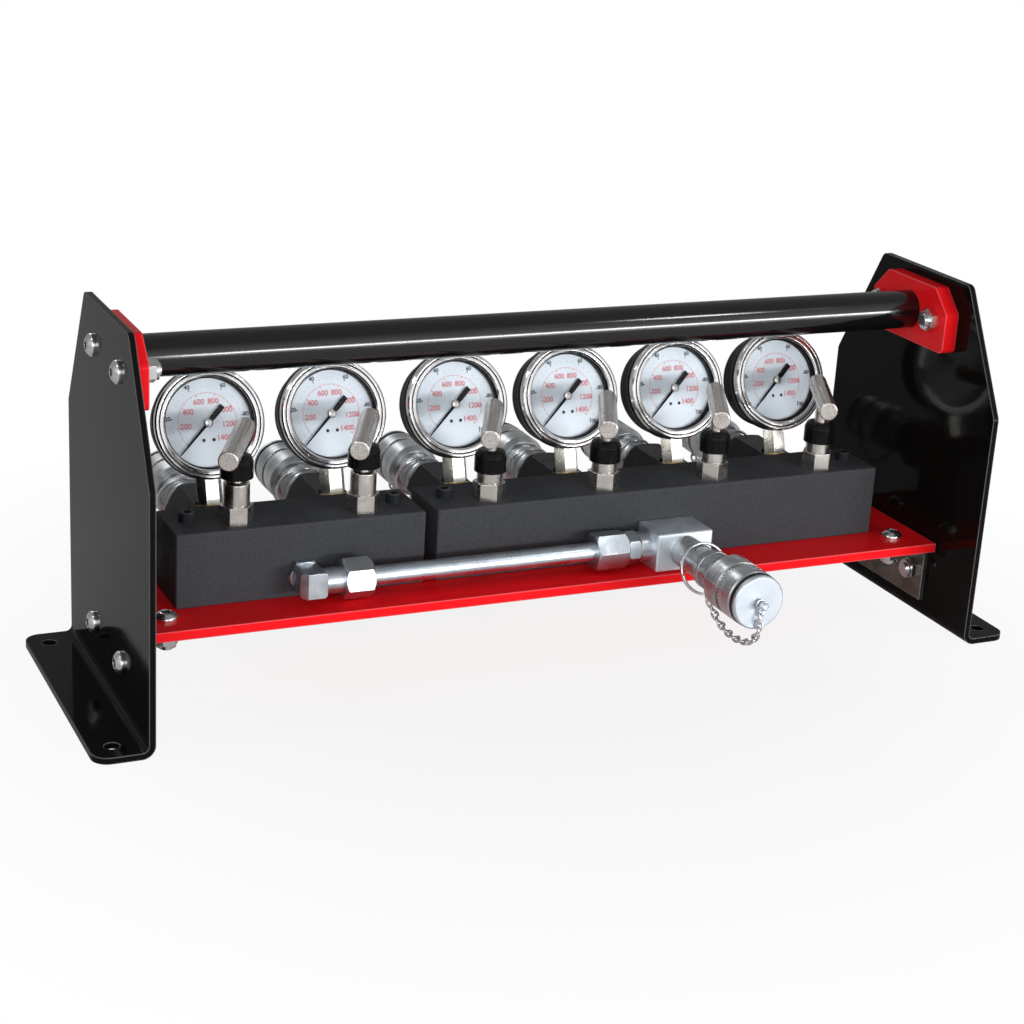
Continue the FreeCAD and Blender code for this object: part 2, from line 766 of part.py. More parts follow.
def coupler_places():
    """(barrel start, direction) of the six rear couplers and the inlet coupler."""
    places = [(Vector(x, adapter_end + rear_neck_length, outlet_z), Y) for x in ports]
    places.append((Vector(four_block_centre, tee_front - inlet_neck_length, gallery_z), -Y))
    return places


def coupler_body(start, direction, neck_length):
    """Turned coupler body with its thread, neck, barrel, retaining flange and nose."""
    inner_end = -neck_length - port_thread_length
    neck = neck_diameter / 2
    barrel = coupler_diameter / 2
    flange = collar_diameter / 2 - collar_wall - seat_gap
    lip_end = collar_start + collar_lip + seat_gap
    nose = nose_diameter / 2
    profile = [(fluid_bore / 2, inner_end), (port_thread / 2, inner_end), (port_thread / 2, -neck_length),
               (neck, -neck_length), (neck, 0), (barrel - barrel_edge, 0), (barrel, barrel_edge),
               (barrel, lip_end), (flange, lip_end), (flange, lip_end + retainer_width),
               (nose, lip_end + retainer_width), (nose, nose_end), (poppet_face / 2 + thread_gap, nose_end),
               (poppet_face / 2 + thread_gap, nose_end - poppet_nose),
               (poppet_diameter / 2 + thread_gap, nose_end - poppet_nose),
               (poppet_diameter / 2 + thread_gap, nose_end - 1.5 * poppet_length),
               (fluid_bore / 2, nose_end - 1.5 * poppet_length)]
    return turned(profile, start, direction)


def coupler_poppet(start, direction):
    """Check poppet held against the seat in the coupler's nose."""
    face = poppet_face / 2
    head = poppet_diameter / 2
    shoulder = nose_end - poppet_nose - thread_gap
    profile = [(0, nose_end), (face, nose_end), (face, shoulder), (head, shoulder),
               (head, nose_end - poppet_length), (0, nose_end - poppet_length)]
    return turned(profile, start, direction)


def coupler_collar(start, direction):
    """Threaded collar that turns on the coupler body."""
    outer = collar_diameter / 2
    journal = coupler_diameter / 2 + running_gap
    inner = outer - collar_wall
    lip_end = collar_start + collar_lip
    groove = outer - groove_depth
    groove_end = groove_start + groove_width
    profile = [(journal, collar_start), (outer - shoulder_edge, collar_start),
               (outer, collar_start + shoulder_edge), (outer, groove_start), (groove, groove_start),
               (groove, groove_end), (outer, groove_end), (outer, collar_end - collar_edge),
               (outer - collar_edge, collar_end), (inner, collar_end), (inner, lip_end), (journal, lip_end)]
    return turned(profile, start, direction)


def dust_cap(start, direction):
    """Plug cap in the collar's mouth, with the stud that holds its chain."""
    plug = collar_diameter / 2 - collar_wall - seat_gap
    flange = cap_flange / 2
    low = collar_end + seat_gap
    high = low + cap_flange_depth
    stud = stud_diameter / 2
    ball = stud_ball / 2
    profile = [(0, low - cap_plug_depth), (plug, low - cap_plug_depth), (plug, low), (flange, low),
               (flange, high - cap_edge), (flange - cap_edge, high), (stud, high), (stud, high + stud_length),
               (ball, high + stud_length + ball / 2), (ball, high + stud_length + ball),
               (stud, high + stud_length + 1.5 * ball), (0, high + stud_length + 1.5 * ball)]
    return turned(profile, start, direction)


def link(centre, along, across):
    """One chain link: a flat closed loop with eight outer and eight inner corners."""
    loops = []
    for grow in (0, link_wire):
        half_long = (link_pitch + 2 * link_wire) / 2 - grow
        half_wide = link_width / 2 - grow
        bevel = half_wide * link_bevel
        quarter = [(half_long - bevel, half_wide), (half_long, half_wide - bevel)]
        corners = quarter + [(a, -b) for a, b in reversed(quarter)]
        corners += [(-a, -b) for a, b in quarter] + [(-a, b) for a, b in reversed(quarter)]
        normal = along.cross(across)
        points = [centre - normal * (link_wire / 2) + along * a + across * b for a, b in corners]
        loops.append(Part.Face(Part.makePolygon(points + points[:1])).extrude(normal * link_wire))
    return loops[0].cut(loops[1])


def chain(start, direction, carrier, ring_out, sag):
    """Ring that hangs on a round carrier and the links from it to the cap's stud."""
    radius = ring_radius
    half = ring_wire / 2
    tilt = math.radians(ring_tilt)
    hang = (radius - half) * math.cos(tilt) - half * math.sin(tilt) - carrier / 2 - loose_gap
    axis = direction * math.cos(tilt) + Z * math.sin(tilt)
    centre = start + direction * ring_out - Z * hang
    profile = [(radius - half, -half), (radius + half, -half), (radius + half, half), (radius - half, half)]
    pieces = [turned(profile, centre, axis)]
    hook = link_wire + link_play
    down = direction * math.sin(tilt) - Z * math.cos(tilt)
    stud_out = collar_end + seat_gap + cap_flange_depth + stud_length + 0.75 * stud_ball / 2
    points = [centre + down * (radius + half + hook)]
    points += [start + direction * out + Z * height for out, height in sag]
    points.append(start + direction * stud_out - Z * (stud_ball / 2 + hook))
    lengths = [(b - a).Length for a, b in zip(points, points[1:])]
    count = round(sum(lengths) / link_pitch)
    step = sum(lengths) / count
    sideways = direction.cross(Z)
    for k in range(count):
        middle = (k + 0.5) * step
        run = 0
        while middle > lengths[run] and run < len(lengths) - 1:
            middle -= lengths[run]
            run += 1
        along = (points[run + 1] - points[run]).normalize()
        place = points[run] + along * middle
        across = sideways if k % 2 else along.cross(sideways)
        pieces.append(link(place, along, across))
    return pieces


# Inlet run

def inlet_tee():
    """Square-cut tee on the four-outlet block, bored for its three ports."""
    body = box((tee_left, tee_left + tee_width), (tee_front, block_front), (tee_low, tee_low + tee_height))
    body = body.makeChamfer(tee_edge, body.Edges)
    centre = Vector(four_block_centre, run_y, gallery_z)
    mouth = Vector(four_block_centre, tee_front, gallery_z)
    spigot = rod(port_thread, mouth + Y * tee_depth, Y, port_thread_length)
    through = rod(fluid_bore, mouth, Y, tee_depth + port_thread_length)
    front = rod(port_thread + 2 * thread_gap, mouth, Y, port_thread_length)
    side = rod(fluid_bore, centre, -X, tee_width)
    left = rod(elbow_thread + 2 * thread_gap, Vector(tee_left, run_y, gallery_z), X, port_thread_length / 2)
    return body.fuse(spigot).cut([through, front, side, left])


def inlet_elbow():
    """Forged elbow on the two-outlet block, turning from the block to the tube."""
    half = elbow_body / 2
    x = two_block_centre
    face = Vector(x, block_front, gallery_z)
    nut = chamfered_hexagon(elbow_nut_across, face, -Y, elbow_nut_height, Z, False, True)
    thread = rod(elbow_thread, face, Y, port_thread_length)
    depth = (run_y - half, block_front - elbow_nut_height)
    body = box((x - half, x + half), depth, (gallery_z - half, gallery_z + half))
    body = body.makeChamfer(half / 2, edges_along(body, Z, lambda m: m.x < x and m.y < run_y))
    body = body.makeChamfer(elbow_edge, edges_along(body, Y, lambda m: True))
    arm = rod(elbow_arm, Vector(x, run_y, gallery_z), X, left_nut_start - x + nut_overlap)
    passage = rod(fluid_bore, Vector(x, run_y, gallery_z), Y, block_front + port_thread_length - run_y)
    along = rod(fluid_bore, Vector(x, run_y, gallery_z), X, left_nut_start - x + nut_overlap)
    end = Vector(left_nut_start + nut_overlap, run_y, gallery_z)
    socket = rod(tube_diameter + 2 * thread_gap, end, -X, tube_in_fitting)
    return nut.fuse([thread, body, arm]).cut([passage, along, socket])


def front_flat(degrees):
    """Normal of a hexagon's front flat on the tube's line, looking up by some degrees."""
    turn = math.radians(degrees)
    return Vector(0, -math.cos(turn), math.sin(turn))


def tube_adapter():
    """Straight union from the tee to the tube: collar, hexagon and threaded end."""
    shoulder = Vector(right_nut_end, run_y, gallery_z)
    face = Vector(tee_left, run_y, gallery_z)
    collar = rod(union_collar, face, -X, union_collar_length)
    flat = front_flat(union_turn)
    body = chamfered_hexagon(union_hex, shoulder, X, union_hex_length, flat, True, True)
    thread = rod(elbow_thread, face, X, port_thread_length / 2)
    end = rod(elbow_arm, shoulder, -X, nut_overlap)
    mouth = shoulder - X * nut_overlap
    bore = rod(fluid_bore, mouth, X, face.x + port_thread_length - mouth.x)
    socket = rod(tube_diameter + 2 * thread_gap, mouth, X, tube_in_fitting)
    return collar.fuse([body, thread, end]).cut([bore, socket])


def tube_nut(start, direction, length, flat_normal):
    """Compression nut: start is its open end, direction points along the tube."""
    nut = chamfered_hexagon(tube_nut_across, start, direction, length, flat_normal, True, True)
    cavity = rod(elbow_arm + 2 * thread_gap, start, direction, length - nut_wall_length)
    bore = rod(tube_diameter + 2 * thread_gap, start, direction, length)
    return nut.cut([cavity, bore])


def inlet_tube():
    """Straight steel tube between the elbow and the union."""
    start = left_nut_start + nut_overlap - tube_in_fitting
    end = right_nut_end - nut_overlap + tube_in_fitting
    tube = rod(tube_diameter, Vector(start, run_y, gallery_z), X, end - start)
    return tube.cut(rod(tube_diameter - 2 * tube_wall, Vector(start, run_y, gallery_z), X, end - start))


# Writing the nodes

os.makedirs("parts", exist_ok=True)

left_plate = end_plate()
left_handle_bracket = handle_bracket()
left_angle = angle_bracket()
frame_bolts, frame_nuts = frame_fasteners()
export("left_end_plate", [left_plate])
export("right_end_plate", [mirrored(left_plate)])
export("handle_brackets", [left_handle_bracket, mirrored(left_handle_bracket)])
export("handle_tube", [handle_tube()])
export("base_plate", [base_plate()])
export("angle_brackets", [left_angle, mirrored(left_angle)])
export("frame_bolts", frame_bolts)
export("frame_nuts", frame_nuts)

two_block = manifold_block(two_block_left, two_block_length, two_ports, two_block_centre, elbow_thread)
four_block = manifold_block(four_block_left, four_block_length, four_ports, four_block_centre, port_thread)
export("two_port_block", [two_block])
export("four_port_block", [four_block])
export("block_screws", [block_screw(x) for x in block_screw_places()])
export("gallery_plugs", [gallery_plug(right) for right in (two_block_right, four_block_right)])

export("valve_bonnets", [valve_bonnet(x, turn) for x, turn in zip(ports, valve_hex_turns)])
export("gauge_adapters", [gauge_adapter(x) for x in ports])
export("gauge_seals", [gauge_seal(x) for x in ports])
export("gauge_cases", [gauge_case(x) for x in ports])
export("gauge_bezels", [gauge_bezel(x) for x in ports])
export("gauge_windows", [gauge_window(x) for x in ports])
export("gauge_dials", [gauge_dial(x) for x in ports])
export("gauge_movements", [gauge_movement(x) for x in ports])
for index, x in enumerate(ports):
    number = str(index + 1)
    export("valve_boot_" + number, [valve_boot(x, index in raised_boots)])
    export("valve_handle_" + number, tee_handle(x))
    export("gauge_pointer_" + number, [gauge_pointer(x)])

places = coupler_places()
coupler_names = ["outlet_" + str(k + 1) for k in range(len(ports))] + ["inlet"]
bodies = [coupler_body(start, direction, rear_neck_length) for start, direction in places[:-1]]
bodies.append(coupler_body(*places[-1], inlet_neck_length))
chains = []
for start, direction in places[:-1]:
    chains += chain(start, direction, coupler_diameter, rear_ring_out, rear_sag)
chains += chain(*places[-1], neck_diameter, inlet_ring_out, inlet_sag)
export("coupler_bodies", bodies)
export("cap_chains", chains)
export("coupler_poppets", [coupler_poppet(start, direction) for start, direction in places])
for name, (start, direction) in zip(coupler_names, places):
    export(name + "_collar", [coupler_collar(start, direction)])
    export(name + "_cap", [dust_cap(start, direction)])

export("inlet_tee", [inlet_tee()])
export("inlet_elbow", [inlet_elbow()])
export("tube_adapter", [tube_adapter()])
export("tube_nuts", [
    tube_nut(Vector(left_nut_start, run_y, gallery_z), X, left_nut_length, front_flat(left_nut_turn)),
    tube_nut(Vector(right_nut_end, run_y, gallery_z), -X, right_nut_length, front_flat(right_nut_turn)),
])
export("inlet_tube", [inlet_tube()])
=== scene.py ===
import json
import logging
import math
from dataclasses import dataclass, field
from enum import Enum
from typing import Any, Callable, Optional, Sequence

import bpy
import numpy as np
from mathutils import Matrix, Vector


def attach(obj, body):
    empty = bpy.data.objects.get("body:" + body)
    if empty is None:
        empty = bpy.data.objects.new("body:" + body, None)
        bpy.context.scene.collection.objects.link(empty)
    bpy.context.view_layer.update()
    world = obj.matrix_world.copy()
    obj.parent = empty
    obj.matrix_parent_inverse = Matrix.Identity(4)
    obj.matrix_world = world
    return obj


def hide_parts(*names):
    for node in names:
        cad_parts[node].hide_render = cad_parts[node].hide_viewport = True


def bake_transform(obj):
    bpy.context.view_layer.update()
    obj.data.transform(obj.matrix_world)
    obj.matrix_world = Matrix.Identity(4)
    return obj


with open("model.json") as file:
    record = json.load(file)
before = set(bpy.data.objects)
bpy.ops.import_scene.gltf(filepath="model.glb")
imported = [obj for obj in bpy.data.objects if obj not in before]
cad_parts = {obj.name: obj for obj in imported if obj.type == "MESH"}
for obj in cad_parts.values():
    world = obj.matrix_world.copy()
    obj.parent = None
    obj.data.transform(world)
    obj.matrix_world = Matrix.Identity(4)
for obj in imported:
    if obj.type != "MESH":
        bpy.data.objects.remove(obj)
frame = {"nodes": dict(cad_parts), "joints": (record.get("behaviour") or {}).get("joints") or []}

LOG = logging.getLogger("hydraulic_manifold")

MM = 0.001
ROOT = "root"
AXIS_X = Vector((1.0, 0.0, 0.0))
AXIS_Y = Vector((0.0, 1.0, 0.0))
WHITE = (1.0, 1.0, 1.0)
ALL = (0.0, 1.0)                                    # the whole range of a share
MIX_FIRST, MIX_SECOND, MIX_RESULT = 6, 7, 2         # colour sockets of Blender's Mix node

Colour = tuple[float, float, float]
Pair = tuple[float, float]
Mesh = bpy.types.Mesh
Node = bpy.types.Node
Socket = bpy.types.NodeSocket


# Node trees

class Tree:
    """Adds nodes to one node tree and joins their sockets."""

    def __init__(self, tree: bpy.types.NodeTree) -> None:
        """Keeps the tree that the nodes go into."""
        self.tree = tree

    def add(self, kind: str, inputs: Optional[dict[Any, Any]] = None, **settings: Any) -> Node:
        """Adds one node.

        Args:
            kind: The node's type without the ShaderNode prefix.
            inputs: What feeds each input, a socket or a plain value.
            settings: Properties of the node itself.

        Returns:
            The new node.
        """
        made = self.tree.nodes.new(kind if kind.startswith("NodeGroup") else "ShaderNode" + kind)
        for name, value in settings.items():
            setattr(made, name, value)
        self.feed(made, inputs or {})
        return made

    def feed(self, node: Node, inputs: dict[Any, Any]) -> None:
        """Links sockets to a node's inputs, or sets their plain values.

        Args:
            node: The node that is fed.
            inputs: What feeds each input, by its name or number.
        """
        for name, value in inputs.items():
            socket = node.inputs[name]
            if isinstance(value, bpy.types.NodeSocket):
                self.tree.links.new(value, socket)
            elif isinstance(value, tuple) and socket.type == "RGBA":
                socket.default_value = (*value, 1.0)
            else:
                socket.default_value = value

    def math(self, operation: str, first: Any, second: Any, clamp: bool = False) -> Socket:
        """Arithmetic on two values; returns the result's socket."""
        return self.add("Math", {0: first, 1: second}, operation=operation, use_clamp=clamp).outputs[0]

    def times(self, first: Any, second: Any) -> Socket:
        """Product of two values; returns the result's socket."""
        return self.math("MULTIPLY", first, second)

    def blend(self, share: Any, first: Any, second: Any) -> Socket:
        """Mixes two colours by a share; returns the colour's socket."""
        inputs = {"Factor": share, MIX_FIRST: first, MIX_SECOND: second}
        return self.add("Mix", inputs, data_type="RGBA").outputs[MIX_RESULT]

    def between(self, value: Any, start: Pair, end: tuple[Any, Any]) -> Socket:
        """Maps one range onto another, without going past its ends; returns the result's socket."""
        return self.add("MapRange", dict(enumerate((value, *start, *end)))).outputs[0]

    def place(self) -> Socket:
        """Coordinates in the object's own frame, in metres."""
        return self.add("TexCoord").outputs["Object"]

    def noise(self, scale: Any, detail: float = 3.0, where: Optional[Socket] = None) -> Socket:
        """Noise between 0 and 1 at a scale in waves per metre."""
        return self.add("TexNoise", {"Vector": where or self.place(), "Scale": scale, "Detail": detail}).outputs[0]

    def bump(self, height: Socket, strength: float, distance: float, **normal: Socket) -> Socket:
        """Bumps the surface, or a Normal that is given; returns the new normal's socket."""
        return self.add("Bump", {"Height": height, "Strength": strength, "Distance": distance, **normal}).outputs[0]

    def straight_rays(self, rays: Node) -> Socket:
        """1 for what the camera sees directly or through glass."""
        return self.math("MAXIMUM", rays.outputs["Is Camera Ray"], rays.outputs["Is Transmission Ray"])


class EffectGroup:
    """A shader effect that several materials share, built once as a node group."""

    title = ""
    inputs: dict[str, tuple[str, Any]] = {}
    outputs: dict[str, str] = {}

    def wire(self, tree: Tree, given: dict[str, Socket]) -> dict[str, Socket]:
        """Builds the effect.

        Args:
            tree: The group's own tree.
            given: The group's input sockets by name.

        Returns:
            What feeds each of the group's outputs.
        """
        raise NotImplementedError

    def group(self) -> bpy.types.NodeTree:
        """Finds the group, which is built on first use.

        Returns:
            The group's node tree.
        """
        found = bpy.data.node_groups.get(self.title)
        if found:
            return found
        made = bpy.data.node_groups.new(self.title, "ShaderNodeTree")
        for name, (kind, value) in self.inputs.items():
            socket = made.interface.new_socket(name=name, in_out="INPUT", socket_type="NodeSocket" + kind)
            socket.default_value = value
        for name, kind in self.outputs.items():
            made.interface.new_socket(name=name, in_out="OUTPUT", socket_type="NodeSocket" + kind)
        tree = Tree(made)
        entry = tree.add("NodeGroupInput")
        tree.add("NodeGroupOutput", self.wire(tree, {name: entry.outputs[name] for name in self.inputs}))
        return made

    def use(self, tree: Tree, **values: Any) -> Node:
        """Places the group in a material, with its own values."""
        inputs = {name.capitalize(): value for name, value in values.items()}
        return tree.add("Group", inputs, node_tree=self.group())

    def mask(self, tree: Tree, **values: Any) -> Socket:
        """Places the group and returns its first output."""
        return self.use(tree, **values).outputs[0]


class RoundedEdges(EffectGroup):
    """Softens sharp edges and finds where they are, for the painted highlights on them."""

    title = "rounded edges"
    inputs = {"Radius": ("Float", 0.6 * MM)}
    outputs = {"Normal": "Vector", "Edge": "Float"}
    samples = 6
    flat_to_sharp = (0.995, 0.86)           # cosine between the rounded and the plain normal

    def wire(self, tree: Tree, given: dict[str, Socket]) -> dict[str, Socket]:
        """Compares the rounded normal with the plain one; see EffectGroup.wire."""
        rounded = tree.add("Bevel", given, samples=self.samples).outputs[0]
        plain = tree.add("NewGeometry").outputs["Normal"]
        dot = tree.add("VectorMath", {0: rounded, 1: plain}, operation="DOT_PRODUCT")
        return {"Normal": rounded, "Edge": tree.between(dot.outputs["Value"], self.flat_to_sharp, ALL)}


class Grain(EffectGroup):
    """Fine streaks or rings: noise squeezed along one direction."""

    title = "fine grain"
    inputs = {"Stretch": ("Vector", WHITE), "Scale": ("Float", 800.0), "Turn": ("Float", 0.0)}
    outputs = {"Streaks": "Float"}
    detail = 4.0

    def wire(self, tree: Tree, given: dict[str, Socket]) -> dict[str, Socket]:
        """Turns and scales the coordinates before the noise; see EffectGroup.wire."""
        turned = tree.add("VectorRotate", {"Vector": tree.place(), "Angle": given["Turn"]}, rotation_type="Z_AXIS")
        squeezed = tree.add("VectorMath", {0: turned.outputs[0], 1: given["Stretch"]}, operation="MULTIPLY")
        return {"Streaks": tree.noise(given["Scale"], self.detail, squeezed.outputs[0])}


class Mottle(EffectGroup):
    """Slow cloudy change over a surface."""

    title = "cloudy mottle"
    inputs = {"Scale": ("Float", 40.0), "Low": ("Float", 0.0), "High": ("Float", 1.0)}
    outputs = {"Value": "Float"}
    noise_range = (0.35, 0.65)

    def wire(self, tree: Tree, given: dict[str, Socket]) -> dict[str, Socket]:
        """Noise mapped between two values; see EffectGroup.wire."""
        noise = tree.noise(given["Scale"])
        return {"Value": tree.between(noise, self.noise_range, (given["Low"], given["High"]))}

    def clouds(self, tree: Tree, scale: float, limits: Pair) -> Socket:
        """Places the group between two limits and returns its value."""
        return self.mask(tree, scale=scale, low=limits[0], high=limits[1])


class Specks(EffectGroup):
    """Scattered small round spots."""

    title = "scattered specks"
    inputs = {"Scale": ("Float", 300.0), "Size": ("Float", 0.2), "Share": ("Float", 0.2)}
    outputs = {"Spots": "Float"}

    def wire(self, tree: Tree, given: dict[str, Socket]) -> dict[str, Socket]:
        """Keeps the middles of some cells; see EffectGroup.wire."""
        cells = tree.add("TexVoronoi", {"Vector": tree.place(), "Scale": given["Scale"]})
        near = tree.math("LESS_THAN", cells.outputs["Distance"], given["Size"])
        pick = tree.add("SeparateColor", {0: cells.outputs["Color"]}).outputs[0]
        return {"Spots": tree.times(near, tree.math("LESS_THAN", pick, given["Share"]))}


class Dust(EffectGroup):
    """Thin dust that lies on what faces up."""

    title = "settled dust"
    inputs = {"Scale": ("Float", 120.0), "Amount": ("Float", 0.1)}
    outputs = {"Dust": "Float"}
    facing_up = (0.3, 0.95)
    detail = 6.0
    noise_range = (0.4, 0.7)
    patches = (0.2, 1.0)

    def wire(self, tree: Tree, given: dict[str, Socket]) -> dict[str, Socket]:
        """Upward share of the normal times patchy noise; see EffectGroup.wire."""
        up = tree.add("SeparateXYZ", {0: tree.add("NewGeometry").outputs["Normal"]}).outputs[2]
        flat = tree.between(up, self.facing_up, (0.0, given["Amount"]))
        noise = tree.noise(given["Scale"], self.detail)
        return {"Dust": tree.times(flat, tree.between(noise, self.noise_range, self.patches))}


class Crevices(EffectGroup):
    """Painted shade: darkens the colour in sockets, threads and corners, where the ambient occlusion finds them
    hidden.
    """

    title = "shaded crevices"
    inputs = {"Distance": ("Float", 3.0 * MM), "Amount": ("Float", 0.8)}
    outputs = {"Shade": "Float"}
    samples = 6
    hidden_to_open = (0.3, 0.85)

    def wire(self, tree: Tree, given: dict[str, Socket]) -> dict[str, Socket]:
        """Turns the ambient occlusion's dark places into a mask; see EffectGroup.wire."""
        hidden = tree.add("AmbientOcclusion", {"Distance": given["Distance"]}, samples=self.samples, only_local=True)
        return {"Shade": tree.between(hidden.outputs["AO"], self.hidden_to_open, (given["Amount"], 0.0))}


ROUNDED_EDGES = RoundedEdges()
CREVICES = Crevices()
GRAIN = Grain()
MOTTLE = Mottle()
SPECKS = Specks()
DUST = Dust()


# Finishes

class Run(Enum):
    """Direction in which a grain runs, as the squeeze of the noise along X, Y and Z."""

    ALONG_X = (0.02, 1.0, 1.0)
    ALONG_Y = (1.0, 0.02, 1.0)
    ROUND_Y = (0.02, 1.0, 0.02)
    ROUND_X = (1.0, 0.02, 0.02)
    ROUND_Z = (0.02, 0.02, 1.0)
    EVEN = (1.0, 1.0, 1.0)


@dataclass(frozen=True)
class Finish:
    """What every finish has; each kind adds its own shader."""

    name: str
    colour: Colour

    def shade(self, tree: Tree, shader: Node) -> None:
        """Feeds the Principled shader.

        Args:
            tree: The material's tree.
            shader: Its Principled shader.
        """
        raise NotImplementedError

    def material(self) -> bpy.types.Material:
        """Finds the finish's material, which is built on first use.

        Returns:
            The material.
        """
        title = self.name + "_finish"
        found = bpy.data.materials.get(title)
        if found:
            return found
        made = bpy.data.materials.new(title)
        made.use_nodes = True
        made.diffuse_color = (*self.colour, 1.0)
        self.shade(Tree(made.node_tree), made.node_tree.nodes["Principled BSDF"])
        return made


@dataclass(frozen=True)
class PowderCoat(Finish):
    """Glossy powder coat: orange peel, painted highlights on the rounded edges and a little dust."""

    # painted highlight on the rounded edges
    edge_colour: Colour
    edge_radius: float = 1.0 * MM
    roughness: Pair = (0.16, 0.26)
    cloud_scale: float = 30.0
    peel_scale: float = 420.0
    peel_detail: float = 1.5
    peel_strength: float = 0.35
    peel_height: float = 0.04 * MM
    dust: float = 0.0
    dust_colour: Colour = (0.35, 0.34, 0.33)
    coat: float = 0.0
    coat_roughness: float = 0.08
    specular: float = 0.1

    def shade(self, tree: Tree, shader: Node) -> None:
        """Paints highlights on the edges and bumps the peel; see Finish.shade."""
        edges = ROUNDED_EDGES.use(tree, radius=self.edge_radius).outputs
        # painted highlight along the edges
        base = tree.blend(edges["Edge"], self.colour, self.edge_colour)
        peel = tree.noise(self.peel_scale, self.peel_detail)
        tree.feed(shader, {
            "Base Color": tree.blend(DUST.mask(tree, amount=self.dust), base, self.dust_colour),
            "Roughness": MOTTLE.clouds(tree, self.cloud_scale, self.roughness),
            "Normal": tree.bump(peel, self.peel_strength, self.peel_height, Normal=edges["Normal"]),
            "Coat Weight": self.coat,
            "Coat Roughness": self.coat_roughness,
            "Specular IOR Level": self.specular,
        })


@dataclass(frozen=True)
class PlatedMetal(Finish):
    """Plated or polished metal with tool marks, stains and specks, painted highlights on its edges and painted shade
    in its crevices.
    """

    shade_colour: Colour
    run: Run = Run.EVEN
    roughness: Pair = (0.2, 0.34)
    rough_scale: float = 110.0
    rough_streak: float = 0.06              # what a tool mark adds to the roughness
    grain_scale: float = 1200.0
    grain_height: float = 0.02 * MM
    grain_strength: float = 0.35
    grain_range: Pair = (0.42, 0.68)
    streak: float = 0.3
    turn: float = 0.0                       # of the grain about Z, in radians
    edge_radius: float = 0.5 * MM
    # painted highlight along the rounded edges
    edge_colour: Colour = (0.93, 0.94, 0.96)
    edge_share: float = 0.8
    stain: float = 0.35
    stain_scale: float = 70.0
    speck_scale: float = 420.0
    speck_size: float = 0.16
    speck_share: float = 0.06
    speck_depth: float = 0.4
    speck_colour: Colour = (0.25, 0.22, 0.19)
    dust: float = 0.0
    dust_colour: Colour = (0.3, 0.29, 0.28)
    # painted shade: how much the colour darkens in crevices, and towards what colour
    grime: float = 0.92
    grime_colour: Colour = (0.02, 0.019, 0.018)
    metallic: float = 1.0
    specular: float = 0.5

    def shade(self, tree: Tree, shader: Node) -> None:
        """Lays tool marks, stains, painted edge highlights, specks, dust and painted crevice shade over each other;
        see Finish.shade.
        """
        edges = ROUNDED_EDGES.use(tree, radius=self.edge_radius).outputs
        streaks = GRAIN.mask(tree, stretch=self.run.value, scale=self.grain_scale, turn=self.turn)
        share = tree.between(streaks, self.grain_range, (0.0, self.streak))
        if self.stain:
            share = tree.math("ADD", MOTTLE.clouds(tree, self.stain_scale, (0.0, self.stain)), share, clamp=True)
        base = tree.blend(share, self.colour, self.shade_colour)
        # painted highlight along the edges
        base = tree.blend(tree.times(edges["Edge"], self.edge_share), base, self.edge_colour)
        specks = SPECKS.mask(tree, scale=self.speck_scale, size=self.speck_size, share=self.speck_share)
        base = tree.blend(tree.times(specks, self.speck_depth), base, self.speck_colour)
        if self.dust:
            base = tree.blend(DUST.mask(tree, amount=self.dust), base, self.dust_colour)
        rough = MOTTLE.clouds(tree, self.rough_scale, self.roughness)
        if self.rough_streak:
            rough = tree.math("ADD", rough, tree.times(streaks, self.rough_streak))
        # the base colour gets painted shade in the crevices
        tree.feed(shader, {
            "Base Color": tree.blend(CREVICES.mask(tree, amount=self.grime), base, self.grime_colour),
            "Roughness": rough,
            "Normal": tree.bump(streaks, self.grain_strength, self.grain_height, Normal=edges["Normal"]),
            "Metallic": self.metallic,
            "Specular IOR Level": self.specular,
        })


@dataclass(frozen=True)
class SatinBlack(PlatedMetal):
    """Satin dark surface of the blocks and fittings, with machining grain and a little dust."""

    rough_scale: float = 60.0
    rough_streak: float = 0.0
    grain_scale: float = 1500.0
    grain_height: float = 0.03 * MM
    grain_strength: float = 0.3
    grain_range: Pair = (0.35, 0.7)
    streak: float = 1.0
    edge_radius: float = 0.8 * MM
    # painted highlight along the edges
    edge_share: float = 0.6
    stain: float = 0.0
    speck_scale: float = 260.0
    speck_size: float = 0.12
    speck_share: float = 0.1
    speck_depth: float = 0.08
    speck_colour: Colour = (0.22, 0.21, 0.2)
    dust: float = 0.003
    # painted shade in crevices
    grime: float = 0.7
    grime_colour: Colour = (0.003, 0.003, 0.003)
    metallic: float = 0.0
    specular: float = 0.12


@dataclass(frozen=True)
class GlossRubber(Finish):
    """Glossy black rubber with faint mould bloom."""

    roughness: Pair
    bloom_colour: Colour = (0.010, 0.010, 0.011)
    bloom: Pair = (0.0, 0.5)
    bloom_scale: float = 160.0
    dust: float = 0.01
    dust_colour: Colour = (0.2, 0.2, 0.2)
    rough_scale: float = 220.0
    edge_radius: float = 0.8 * MM
    pore_scale: float = 900.0
    pore_strength: float = 0.15
    pore_depth: float = 0.03 * MM
    specular: float = 0.15

    def shade(self, tree: Tree, shader: Node) -> None:
        """Blooms the colour in clouds; see Finish.shade."""
        normal = ROUNDED_EDGES.use(tree, radius=self.edge_radius).outputs["Normal"]
        base = tree.blend(MOTTLE.clouds(tree, self.bloom_scale, self.bloom), self.colour, self.bloom_colour)
        tree.feed(shader, {
            "Base Color": tree.blend(DUST.mask(tree, amount=self.dust), base, self.dust_colour),
            "Roughness": MOTTLE.clouds(tree, self.rough_scale, self.roughness),
            "Normal": tree.bump(tree.noise(self.pore_scale), self.pore_strength, self.pore_depth, Normal=normal),
            "Specular IOR Level": self.specular,
        })


